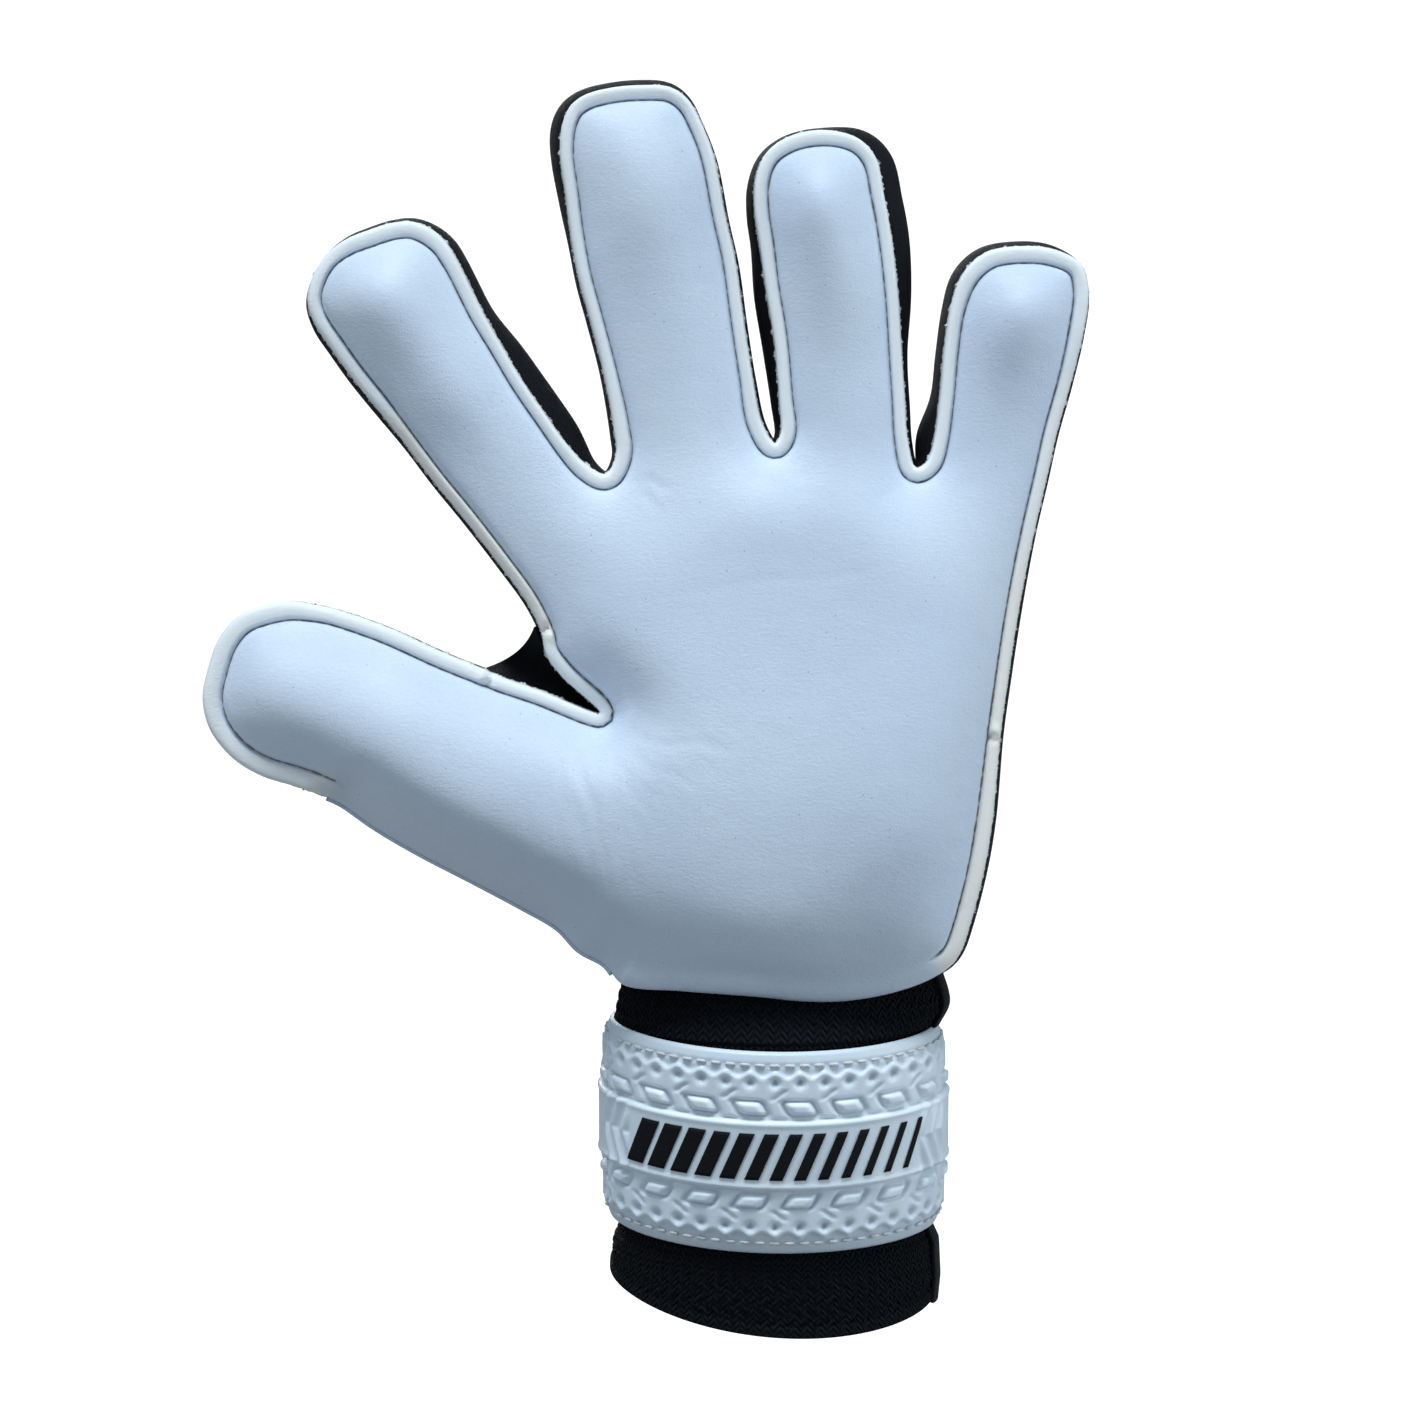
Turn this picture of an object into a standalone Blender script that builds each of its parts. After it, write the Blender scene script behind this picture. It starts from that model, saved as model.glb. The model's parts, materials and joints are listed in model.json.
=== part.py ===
"""A left-hand goalkeeper's glove, flat palm cut, laid out open with its palm towards -Y.

+Z runs from the wrist opening to the fingertips, +X from the thumb to the little finger, +Y out of
the back of the hand. The glove is sewn from foam plates (palm side), textile walls (gussets between
the fingers), back panels, a knitted wrist cuff and a wrap-round strap with hook-and-loop closure.
The foam of each finger bends about the lining on its inner face, so every flex line lies there.
"""

import math

import bmesh
import bpy
from mathutils import Vector

MM = 0.001

# Depths, measured along +Y from the palm's outer face.
PALM_FACE_Y = -19 * MM
FOAM = 4.0 * MM  # latex foam and its laminated cloth
BACK = 3.0 * MM  # embossed back panels
LINING = 0.8 * MM
WALL = 1.6 * MM  # gusset textile with its lining
FINGER_DEPTH = 28 * MM
HAND_DEPTH = 36 * MM  # at the wrist end of the back panel
FLEX_Y = PALM_FACE_Y + FOAM  # the plane of every finger flex line

# Sewing.
SEAM = 4.3 * MM  # seam allowance that stands outside every stitch line
GAP = 0.4 * MM  # between two pieces sewn face to face
EDGE = 0.6 * MM  # rounding of cut foam edges

# Room that the bending foam needs on each side of a flex line, and the back needs to bend backwards.
KNUCKLE_FOAM_GAP = 3.4 * MM
MIDDLE_FOAM_GAP = 3.6 * MM
KNUCKLE_BACK_GAP = 2.7 * MM
THUMB_BASE_GAP = 1.8 * MM
THUMB_TIP_GAP = 2.2 * MM
THUMB_BACK_GAP = 2.6 * MM

# Fingers: knuckle line centre and fingertip (x, z), widths there, tip corner radius, slope of the
# knuckle line, and how far the back is rolled sideways over the palm face.
FINGERS = {
    "index": {
        "knuckle": (-51.6, 173.1), "tip": (-92.7, 228.7), "widths": (28.0, 29.2), "corner": 13.6,
        "slope": 18.0, "roll": 2.6,
    },
    "middle": {
        "knuckle": (-18.6, 182.0), "tip": (-32.6, 261.7), "widths": (29.5, 31.4), "corner": 12.5,
        "slope": 3.0, "roll": -1.2,
    },
    "ring": {
        "knuckle": (14.3, 184.0), "tip": (10.8, 251.4), "widths": (27.0, 29.4), "corner": 13.6,
        "slope": 0.0, "roll": 1.8,
    },
    "little": {
        "knuckle": (46.0, 178.5), "tip": (53.6, 226.3), "widths": (25.0, 26.4), "corner": 11.5,
        "slope": -5.0, "roll": -1.0,
    },
}
MIDDLE_JOINT = 0.42  # share of the finger stall between the knuckle line and the middle flex line

# Lowest point of the cut between each pair of fingers (x, z).
CROTCHES = {"index_middle": (-35.0, 175.0), "middle_ring": (-0.9, 180.6), "ring_little": (31.3, 176.0)}

# Thumb.
THUMB_MIDDLE_Z = 95 * MM
THUMB_WEB_Y = -6 * MM
THUMB_AXIS_X = -36.3 * MM  # the vertical flex line along the thumb's base
THUMB_JOINT = (-80.6, 121.6)
THUMB_TIP = (-122.0, 135.9)
THUMB_WIDTHS = (41.0, 30.5)
THUMB_CORNER = 14.4

# Wrist.
WRIST_FLEX_Z = 66 * MM
KNUCKLES_Z = 180 * MM
CUFF_TILT = math.radians(10)  # the forearm leans away behind the hand
CUFF_TOP, CUFF_BOTTOM = -9 * MM, -66 * MM  # below the wrist flex line
CUFF_RIM_SLOPES = (-0.16, 0.28)  # the rim is cut lower on the palm and on the little-finger side
CUFF_HALF = (32.4 * MM, 22.0 * MM)  # outer half width and half depth
CUFF_WALL = 2.0 * MM
STRAP_TOP, STRAP_BOTTOM = -8.4 * MM, -53.0 * MM
STRAP_OFFSET = 1.1 * MM  # clears the seam tape under the strap
BAND, COVER = 1.0 * MM, 1.8 * MM
BAND_INSET = 0.6 * MM
PATCH = 0.9 * MM  # hook and loop tape
SEAM_TAPE = 0.4 * MM
FLAP_OFFSET = 2.8 * MM
HINGE_SLACK = 0.9  # degrees of the oval left open at each side of a strap fold
STRAP_START, STRAP_FOLD, FLAP_SPLIT, FLAP_END = 30.0, 180.0, 112.0, 48.0  # degrees round the cuff


def clear_scene():
    for old in list(bpy.data.objects):
        bpy.data.objects.remove(old, do_unlink=True)


def new_collection(name):
    made = bpy.data.collections.new(name)
    bpy.context.scene.collection.children.link(made)
    return made


def new_material(name, colour, roughness, sheen=0.0):
    made = bpy.data.materials.new(name)
    made.use_nodes = True
    surface = made.node_tree.nodes["Principled BSDF"]
    surface.inputs["Base Color"].default_value = (*colour, 1)
    surface.inputs["Roughness"].default_value = roughness
    surface.inputs["Metallic"].default_value = 0
    surface.inputs["Sheen Weight"].default_value = sheen
    made.diffuse_color = (*colour, 1)
    return made


def new_empty(name, location, parent=None, rotation=(0, 0, 0)):
    made = bpy.data.objects.new(name, None)
    made.location = location
    made.rotation_euler = rotation
    made.parent = parent
    made.empty_display_size = 0.01
    GLOVE.objects.link(made)
    return made


def rounded(corners, step=math.radians(22)):
    """Points of an outline given as (x, y) or (x, y, radius) corners, with an arc at each radius."""
    points = []
    count = len(corners)
    for i, corner in enumerate(corners):
        here = Vector(corner[:2])
        radius = corner[2] if len(corner) > 2 else 0
        if not radius:
            points.append(here)
            continue
        back = (Vector(corners[i - 1][:2]) - here).normalized()
        ahead = (Vector(corners[(i + 1) % count][:2]) - here).normalized()
        half = back.angle(ahead) / 2
        centre = here + (back + ahead).normalized() * (radius / math.sin(half))
        first = here + back * (radius / math.tan(half)) - centre
        sweep = first.angle_signed(here + ahead * (radius / math.tan(half)) - centre)
        steps = max(2, round(abs(sweep) / step))
        for k in range(steps + 1):
            turn = -sweep * k / steps
            points.append(
                centre
                + Vector((
                    first.x * math.cos(turn) - first.y * math.sin(turn),
                    first.x * math.sin(turn) + first.y * math.cos(turn),
                ))
            )
    return points


def plate(name, corners, front, thickness, material, parent, edge=EDGE, turn=0.0):
    """A flat piece cut to an outline in the parent's x-z plane, from y = front back by thickness."""
    outline = bpy.data.curves.new(name, "CURVE")
    outline.dimensions = "2D"
    outline.fill_mode = "BOTH"
    outline.extrude = thickness / 2 - edge
    outline.bevel_depth = edge
    outline.bevel_resolution = 0
    outline.offset = -edge
    points = rounded(corners)
    spline = outline.splines.new("POLY")
    spline.points.add(len(points) - 1)
    for target, point in zip(spline.points, points):
        target.co = (point.x, point.y, 0, 1)
    spline.use_cyclic_u = True
    outline.materials.append(material)
    made = bpy.data.objects.new(name, outline)
    made.rotation_euler = (math.pi / 2 + turn, 0, 0)
    made.location = (0, front + thickness / 2, 0)
    made.parent = parent
    GLOVE.objects.link(made)
    return made


def ribbon(name, near, far, thickness, material, parent, closed=False):
    """A wall of even thickness lofted between two rows of points."""
    mesh = bpy.data.meshes.new(name)
    shape = bmesh.new()
    near = [shape.verts.new(point) for point in near]
    far = [shape.verts.new(point) for point in far]
    for i in range(len(near) - (not closed)):
        after = (i + 1) % len(near)
        shape.faces.new((near[i], near[after], far[after], far[i]))
    bmesh.ops.recalc_face_normals(shape, faces=shape.faces)
    shape.to_mesh(mesh)
    shape.free()
    mesh.materials.append(material)
    made = bpy.data.objects.new(name, mesh)
    made.parent = parent
    GLOVE.objects.link(made)
    solid = made.modifiers.new("thickness", "SOLIDIFY")
    solid.thickness = thickness
    solid.offset = 0
    solid.use_even_offset = True
    return made


def gusset(name, path, parent, back_at, thickness=WALL, material=None):
    """A wall from the palm foam to a back panel, along (x, z) points. back_at(z) is its far depth."""
    front = (FLEX_Y if parent is HAND else 0) + GAP
    near = [(x, front, z) for x, z in path]
    far = [(x, back_at(z), z) for x, z in path]
    return ribbon(name, near, far, thickness, material or MESH_CLOTH, parent)


def finger_frame(name):
    """Splay, stall length and knuckle-line slope in the finger's own frame."""
    finger = FINGERS[name]
    knuckle, tip = (Vector(finger[key]) * MM for key in ("knuckle", "tip"))
    along = tip - knuckle
    splay = math.atan2(along.x, along.y)
    return splay, along.length, math.radians(finger["slope"]) + splay


def in_hand(name, u, v):
    """A point of the finger's own frame, as (x, z) in the hand's frame."""
    splay = finger_frame(name)[0]
    knuckle = Vector(FINGERS[name]["knuckle"]) * MM
    return (
        knuckle.x + u * math.cos(splay) + v * math.sin(splay),
        knuckle.y - u * math.sin(splay) + v * math.cos(splay),
    )


def on_knuckle_line(name, u, offset):
    """The v of a point at u that lies this far beyond the finger's knuckle line."""
    lean = finger_frame(name)[2]
    return u * math.tan(lean) + offset / math.cos(lean)


def width_at(name, share):
    base, end = FINGERS[name]["widths"]
    return (base + (end - base) * share) * MM


def build_finger(name):
    """One finger: a base body on the knuckle line and a tip body on the middle flex line."""
    finger = FINGERS[name]
    splay, length, _ = finger_frame(name)
    middle = length * MIDDLE_JOINT
    base_half, middle_half, tip_half = (width_at(name, s) / 2 for s in (0, MIDDLE_JOINT, 1))
    corner, roll = finger["corner"] * MM, finger["roll"] * MM
    back_front = FINGER_DEPTH - FOAM - BACK
    wall_back = back_front - GAP
    x, z = (value * MM for value in finger["knuckle"])
    base = new_empty(name + "_knuckle", (x, FLEX_Y, z), HAND, (0, splay, 0))
    tip = new_empty(name + "_middle_flex", (0, 0, middle), base)

    def base_outline(shift, low, high):
        return [
            (-base_half + shift, on_knuckle_line(name, -base_half, low)),
            (-middle_half + shift, middle - high),
            (middle_half + shift, middle - high),
            (base_half + shift, on_knuckle_line(name, base_half, low)),
        ]

    def tip_outline(shift, low):
        return [
            (-middle_half + shift, low),
            (-tip_half + shift, length - middle, corner),
            (tip_half + shift, length - middle, corner),
            (middle_half + shift, low),
        ]

    plate(
        name + "_base_palm_foam", base_outline(0, KNUCKLE_FOAM_GAP, MIDDLE_FOAM_GAP),
        -FOAM, FOAM, FOAM_LATEX, base,
    )
    plate(
        name + "_base_back", base_outline(roll, KNUCKLE_BACK_GAP, GAP), back_front, BACK, BACK_PANEL, base,
    )
    plate(name + "_tip_palm_foam", tip_outline(0, MIDDLE_FOAM_GAP), -FOAM, FOAM, FOAM_LATEX, tip)
    plate(name + "_tip_back", tip_outline(roll, GAP), back_front, BACK, BACK_PANEL, tip)
    for label, side in (("thumb_side", -1), ("outer_side", 1)):
        low = side * (base_half - SEAM)
        path = [
            (low, on_knuckle_line(name, low, KNUCKLE_BACK_GAP)),
            (side * (middle_half - SEAM), middle - GAP),
        ]
        gusset(f"{name}_base_gusset_{label}", path, base, lambda v: wall_back)
    path = rounded([
        (-middle_half + SEAM, GAP),
        (-tip_half + SEAM, length - middle - SEAM, corner - SEAM),
        (tip_half - SEAM, length - middle - SEAM, corner - SEAM),
        (middle_half - SEAM, GAP),
    ])
    gusset(name + "_tip_gusset", path, tip, lambda v: wall_back)


def palm_outline():
    """The palm foam's outline, thumb side first, with a stub under each finger."""
    corners = [
        (THUMB_AXIS_X + THUMB_BASE_GAP, 65.5 * MM),
        (THUMB_AXIS_X + THUMB_BASE_GAP, 126.5 * MM, 0.8 * MM),
        (-49.6 * MM, 138.6 * MM, 5 * MM),
        (-54.2 * MM, 149.0 * MM, 12 * MM),
    ]
    crotches = list(CROTCHES.values())
    for i, name in enumerate(FINGERS):
        half = width_at(name, 0) / 2
        for side in (-1, 1):
            corners.append(in_hand(name, side * half, on_knuckle_line(name, side * half, -KNUCKLE_FOAM_GAP)))
        if i < len(crotches):
            x, z = crotches[i]
            corners.append((x * MM, z * MM - 3 * MM))
    for x, z, radius in ((50.4, 139.4, 60), (46.8, 100.8, 30), (37.5, 71.5, 3), (3.0, 62.6, 60)):
        corners.append((x * MM, z * MM, radius * MM))
    return corners


def hand_back_at(z):
    """Depth of the hand's walls, which stop a sewing gap short of the sloping backhand lining."""
    share = (z - WRIST_FLEX_Z) / (180 * MM - WRIST_FLEX_Z)
    outer = PALM_FACE_Y + HAND_DEPTH + (FINGER_DEPTH - HAND_DEPTH) * share
    return outer - BACK - LINING - 3 * GAP


def build_palm():
    plate("palm_foam", palm_outline(), PALM_FACE_Y, FOAM, FOAM_LATEX, HAND)
    corners = (
        (-32, 70, 0), (-27, 112, 30), (-27, 128, 5), (-40, 146, 5), (-42, 160, 6), (42, 160, 6),
        (39, 100, 20), (30, 72, 0), (0, 69, 30),
    )
    lining = [(x * MM, z * MM, radius * MM) for x, z, radius in corners]
    plate("palm_lining", lining, FLEX_Y + GAP, LINING, LINING_CLOTH, HAND, edge=0.2 * MM)


def build_backhand():
    """The back panel and its lining. Both slope, so that the glove is thinner at the knuckles."""
    back = [
        (THUMB_AXIS_X + THUMB_BACK_GAP, 68 * MM, 3 * MM), (THUMB_AXIS_X + THUMB_BACK_GAP, 127 * MM),
        (-50 * MM, 141 * MM, 6 * MM),
    ]
    for name in FINGERS:
        half, roll = width_at(name, 0) / 2 - GAP, FINGERS[name]["roll"] * MM
        for u in (-half, half):
            back.append(in_hand(name, u + roll, on_knuckle_line(name, u, -KNUCKLE_BACK_GAP - GAP)))
    back += [(48 * MM, 120 * MM, 40 * MM), (37 * MM, 70 * MM, 4 * MM), (0, 68 * MM)]
    slope = math.atan2(HAND_DEPTH - FINGER_DEPTH, KNUCKLES_Z - WRIST_FLEX_Z)
    front = PALM_FACE_Y + HAND_DEPTH - BACK
    middle = 120 * MM
    for name, size, face, thickness, material in (
        ("backhand_panel", 1.0, front, BACK, BACK_PANEL),
        ("backhand_lining", 0.9, front - GAP - LINING, LINING, LINING_CLOTH),
    ):
        outline = [(c[0] * size, middle + (c[1] - middle) * size, *c[2:]) for c in back]
        made = plate(name, outline, face, thickness, material, HAND, edge=0.2 * MM, turn=slope)
        # The panel turns about the wrist line, where it keeps the hand's full depth.
        made.location.y += WRIST_FLEX_Z * math.sin(slope)
        made.location.z += WRIST_FLEX_Z * (1 - math.cos(slope))


def wall_foot(name, side):
    """Where the hand's wall meets a finger's wall, as (x, z)."""
    u = side * (width_at(name, 0) / 2 - SEAM)
    return in_hand(name, u, on_knuckle_line(name, u, -KNUCKLE_BACK_GAP))


def build_hand_walls():
    names = list(FINGERS)
    for (web, (_, z)), left, right in zip(CROTCHES.items(), names, names[1:]):
        first, last = wall_foot(left, 1), wall_foot(right, -1)
        low = (z - 8.5) * MM
        corners = [first, (first[0] + 1.5 * MM, low, 3 * MM), (last[0] - 1.5 * MM, low, 3 * MM), last]
        gusset(web + "_web", rounded(corners), HAND, hand_back_at)
    index_side = [(x * MM, z * MM) for x, z in ((-31.8, 129.9), (-45.6, 142), (-49.5, 151))]
    gusset("index_side_gusset", index_side + [wall_foot("index", -1)], HAND, hand_back_at)
    outer_side = [(x * MM, z * MM) for x, z in ((46, 139.4), (44, 120), (42.2, 100.8), (35, 77))]
    gusset("little_side_gusset", [wall_foot("little", 1)] + outer_side, HAND, hand_back_at)
    corners = ((-42.6, 130.6, 0), (-48.2, 138.8, 2), (-50.8, 143.5, 2), (-58.6, 140.0, 2))
    web = [(x * MM, z * MM, radius * MM) for x, z, radius in corners]
    plate("thumb_web", web, THUMB_WEB_Y, 2.4 * MM, MESH_CLOTH, HAND)


def build_thumb():
    """The thumb: a base body on the long flex line, and a tip body."""
    joint, end = Vector(THUMB_JOINT) * MM, Vector(THUMB_TIP) * MM
    along = (end - joint).normalized()
    length = (end - joint).length
    splay = math.atan2(along.x, along.y)
    across = Vector((math.cos(splay), -math.sin(splay)))
    joint_half, tip_half = (width * MM / 2 for width in THUMB_WIDTHS)
    corner = THUMB_CORNER * MM
    back_front = FINGER_DEPTH - FOAM - BACK
    base = new_empty("thumb_base_flex", (THUMB_AXIS_X, FLEX_Y, THUMB_MIDDLE_Z), HAND)
    place = (joint.x - THUMB_AXIS_X, 0, joint.y - THUMB_MIDDLE_Z)
    tip = new_empty("thumb_tip_flex", place, base, (0, splay, 0))

    def local(x, z, radius=0):
        return (x - THUMB_AXIS_X, z - THUMB_MIDDLE_Z, radius)

    def base_outline(near, far):
        """Lower corner of the palm end, out to the joint and back along the upper edge."""
        return [
            local(THUMB_AXIS_X - near, 66.5 * MM), local(-45.5 * MM, 77.5 * MM, 14 * MM),
            local(*(joint - across * joint_half - along * far)),
            local(*(joint + across * joint_half - along * far)),
            local(-59 * MM, 136 * MM, 20 * MM), local(THUMB_AXIS_X - near, 124.4 * MM),
        ]

    def tip_outline(low, inset=0.0):
        return [
            (inset - joint_half, low), (inset - tip_half, length - inset, corner - inset),
            (tip_half - inset, length - inset, corner - inset), (joint_half - inset, low),
        ]

    base_foam = base_outline(THUMB_BASE_GAP, THUMB_TIP_GAP)
    plate("thumb_base_palm_foam", base_foam, -FOAM, FOAM, FOAM_LATEX, base)
    plate("thumb_base_back", base_outline(THUMB_BACK_GAP, GAP), back_front, BACK, BACK_PANEL, base)
    plate("thumb_tip_palm_foam", tip_outline(THUMB_TIP_GAP), -FOAM, FOAM, FOAM_LATEX, tip)
    plate("thumb_tip_back", tip_outline(GAP), back_front, BACK, BACK_PANEL, tip)
    back_at = lambda z: back_front - GAP
    gusset("thumb_tip_gusset", rounded(tip_outline(GAP, SEAM)), tip, back_at)

    wall_half = across * (joint_half - SEAM)
    upper = [joint + wall_half - along * GAP, (-59 * MM, 131.5 * MM), (-43 * MM, 122.6 * MM)]
    gusset("thumb_base_gusset", [local(*point)[:2] for point in upper], base, back_at)
    lower = [joint - wall_half - along * GAP, (-46.5 * MM, 82.5 * MM), (-40 * MM, 72 * MM)]
    wrap = [local(*point)[:2] for point in lower]
    gusset("thumb_wrap_foam", wrap, base, back_at, FOAM, FOAM_LATEX)


def cuff_arc(start, end, offset, step=7.5):
    """Points round the cuff's outer oval, moved out by offset, between two angles from +X to +Y."""
    count = max(2, round(abs(end - start) / step))
    points = []
    for i in range(count + 1):
        turn = math.radians(start + (end - start) * i / count)
        on_oval = Vector((CUFF_HALF[0] * math.cos(turn), CUFF_HALF[1] * math.sin(turn)))
        outward = Vector((CUFF_HALF[1] * math.cos(turn), CUFF_HALF[0] * math.sin(turn)))
        points.append(on_oval + outward.normalized() * (offset(turn) if callable(offset) else offset))
    return points


def band(name, path, top, bottom, thickness, material, parent, slopes=(0, 0), closed=False):
    """An upright band round the cuff. slopes tilt its lower edge across and through the wrist."""
    near = [(p.x, p.y, top) for p in path]
    far = [(p.x, p.y, bottom + p.x * slopes[0] + p.y * slopes[1]) for p in path]
    made = ribbon(name, near, far, thickness, material, parent, closed)
    while parent is not CUFF:
        made.location -= parent.location
        parent = parent.parent
    return made


def strap_rise(turn):
    """How far the strap's inner face stands off the cuff: more on the back, over the closure tapes."""
    angle = math.degrees(turn)
    share = min(max((STRAP_FOLD - angle) / 40, 0), 1) if angle > STRAP_START else 0
    return STRAP_OFFSET + (FLAP_OFFSET - STRAP_OFFSET) * share


def strap_section(name, start, end, parent):
    """One length of the strap: the sewn elastic band and the moulded cover on it."""
    layers = (
        ("band", 0, BAND, ELASTIC, BAND_INSET),
        ("cover", BAND + GAP, COVER, SOFT_PLASTIC, 0),
    )
    for layer, inner, thickness, material, inset in layers:
        path = cuff_arc(start, end, lambda turn: strap_rise(turn) + inner + thickness / 2)
        band(
            f"{name}_{layer}", path, STRAP_TOP - inset, STRAP_BOTTOM + inset, thickness, material, parent
        )


def build_wrist():
    """The knitted cuff and the strap, in the wrist's own tilted frame."""
    knit = cuff_arc(0, 360, -CUFF_WALL / 2)[:-1]
    band("wrist_cuff", knit, CUFF_TOP, CUFF_BOTTOM, CUFF_WALL, KNIT, CUFF, CUFF_RIM_SLOPES, closed=True)
    tape = cuff_arc(-9, 9, GAP + SEAM_TAPE / 2, step=6)
    tape_ends = (CUFF_TOP - 1 * MM, CUFF_BOTTOM + 1 * MM)
    band("cuff_seam_tape", tape, *tape_ends, SEAM_TAPE, KNIT, CUFF, CUFF_RIM_SLOPES)
    loop = cuff_arc(FLAP_END + 6, FLAP_SPLIT - 4, GAP + PATCH / 2)
    band("loop_patch", loop, STRAP_TOP - 5 * MM, STRAP_BOTTOM + 5 * MM, PATCH, TAPE, CUFF)

    stack = BAND + GAP + COVER
    fold = cuff_arc(STRAP_FOLD, STRAP_FOLD, STRAP_OFFSET + stack)[0]
    split = cuff_arc(FLAP_SPLIT, FLAP_SPLIT, FLAP_OFFSET + stack)[0]
    flap = new_empty("strap_flap_hinge", (fold.x, fold.y, 0), CUFF)
    flap_tip = new_empty("strap_tip_hinge", (split.x - fold.x, split.y - fold.y, 0), flap)
    strap_section("strap", STRAP_START, STRAP_FOLD + HINGE_SLACK - 360, CUFF)
    strap_section("strap_flap", STRAP_FOLD - HINGE_SLACK, FLAP_SPLIT + HINGE_SLACK, flap)
    strap_section("strap_tip", FLAP_SPLIT - HINGE_SLACK, FLAP_END, flap_tip)
    hook = cuff_arc(FLAP_END + 5, FLAP_SPLIT - 5, FLAP_OFFSET - GAP - PATCH / 2)
    band("hook_patch", hook, STRAP_TOP - 6 * MM, STRAP_BOTTOM + 6 * MM, PATCH, TAPE, flap_tip)


def centre_on_origin():
    """Moves the whole glove so that the middle of the underside of its bounding box is the origin."""
    bpy.context.view_layer.update()
    graph = bpy.context.evaluated_depsgraph_get()
    corners = []
    for made in GLOVE.objects:
        if made.type != "EMPTY":
            solid = made.evaluated_get(graph)
            corners += [made.matrix_world @ vert.co for vert in solid.to_mesh().vertices]
            solid.to_mesh_clear()
    low, high = (Vector(end(p[k] for p in corners) for k in range(3)) for end in (min, max))
    HAND.location = (-(low.x + high.x) / 2, -(low.y + high.y) / 2, -low.z)


clear_scene()
GLOVE = new_collection("goalkeeper_glove")
FOAM_LATEX = new_material("white_latex_foam", (0.78, 0.83, 0.88), 0.62)
BACK_PANEL = new_material("white_back_panel", (0.74, 0.77, 0.80), 0.55)
MESH_CLOTH = new_material("black_mesh_cloth", (0.012, 0.014, 0.018), 0.85, 0.3)
LINING_CLOTH = new_material("white_lining", (0.80, 0.80, 0.78), 0.9)
KNIT = new_material("black_knit", (0.010, 0.012, 0.016), 0.9, 0.3)
ELASTIC = new_material("white_elastic", (0.72, 0.74, 0.76), 0.8)
SOFT_PLASTIC = new_material("white_soft_plastic", (0.80, 0.85, 0.90), 0.38)
TAPE = new_material("black_hook_and_loop", (0.015, 0.015, 0.017), 0.95)

HAND = new_empty("glove_frame", (0, 0, 0))
CUFF = new_empty("wrist_flex", (0, 0, WRIST_FLEX_Z), HAND, (CUFF_TILT, 0, 0))
build_palm()
build_backhand()
build_hand_walls()
for finger_name in FINGERS:
    build_finger(finger_name)
build_thumb()
build_wrist()
centre_on_origin()
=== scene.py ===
"""Looks of the goalkeeper's glove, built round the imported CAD.

Shapes are worked out in millimetres in the hand's frame: x from the thumb to the little finger, y out
of the back of the hand, z up to the fingertips. Its origin lies below the wrist flex line.
"""

import json
import math

import bpy
import numpy as np
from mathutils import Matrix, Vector, geometry, kdtree, noise


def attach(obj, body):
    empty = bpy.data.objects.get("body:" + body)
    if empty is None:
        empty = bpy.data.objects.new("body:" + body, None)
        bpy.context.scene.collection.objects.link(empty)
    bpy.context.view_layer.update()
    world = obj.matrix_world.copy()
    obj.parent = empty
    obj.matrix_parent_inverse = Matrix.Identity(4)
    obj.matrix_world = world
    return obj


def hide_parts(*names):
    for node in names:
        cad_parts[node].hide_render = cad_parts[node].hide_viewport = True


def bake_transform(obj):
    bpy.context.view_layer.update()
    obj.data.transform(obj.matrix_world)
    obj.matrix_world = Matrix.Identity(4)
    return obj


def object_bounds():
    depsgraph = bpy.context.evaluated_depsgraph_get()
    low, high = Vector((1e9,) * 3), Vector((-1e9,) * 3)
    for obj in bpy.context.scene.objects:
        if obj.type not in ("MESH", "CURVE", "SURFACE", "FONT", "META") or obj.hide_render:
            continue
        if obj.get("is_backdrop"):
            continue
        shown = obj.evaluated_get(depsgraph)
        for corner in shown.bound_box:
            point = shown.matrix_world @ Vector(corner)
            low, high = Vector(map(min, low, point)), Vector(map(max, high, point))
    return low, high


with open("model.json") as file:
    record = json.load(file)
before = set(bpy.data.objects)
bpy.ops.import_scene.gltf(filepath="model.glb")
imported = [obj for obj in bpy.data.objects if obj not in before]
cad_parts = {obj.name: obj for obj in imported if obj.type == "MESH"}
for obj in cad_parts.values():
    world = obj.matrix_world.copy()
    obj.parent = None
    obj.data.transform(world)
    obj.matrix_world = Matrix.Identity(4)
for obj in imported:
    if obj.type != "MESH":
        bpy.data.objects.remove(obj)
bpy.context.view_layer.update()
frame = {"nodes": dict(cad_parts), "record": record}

MM = 0.001
JOINTS = {joint["name"]: joint for joint in frame["record"]["behaviour"]["joints"]}
WRIST_Z = 66.0
ORIGIN = np.array(JOINTS["wrist_flex"]["pos_m"]) / MM - (0, 0, WRIST_Z)
TILT = math.atan2(-JOINTS["strap_peel"]["axis"][1], JOINTS["strap_peel"]["axis"][2])

# The palm sheet.
PALM_Y = -18.8  # its front face at the rim
FOAM = 4.2
SEAM = 4.3  # from the raw edge to the stitches, where the rim is widest
WIDTH_FADE = 6.0  # how far inside the stitches a narrower rim still shifts distances
GROOVE = 1.1
LIP = 0.6  # how far the sewn rim stands up between the stitches and its raw edge
SHOULDER = 1.5  # how steeply the padding starts inside the stitches
BODY_GRID = 2.4
BILLOW_FRAMES = 20
WALL, WALL_SECTIONS, WALL_STEP = 0.9, 11, 3
RIM_STITCH = 3.0
KNUCKLES_Z = 180.0
FINGER_BACK_Y, HAND_BACK_Y = 9.4, 17.2
BACK_CROWN = 2.4
BACK_RINGS = (0, 0.9, 2.2, 3.4, 4.0, 4.4, 4.9, 6.0, 7.5)
BACK_GRID = 1.5

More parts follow.
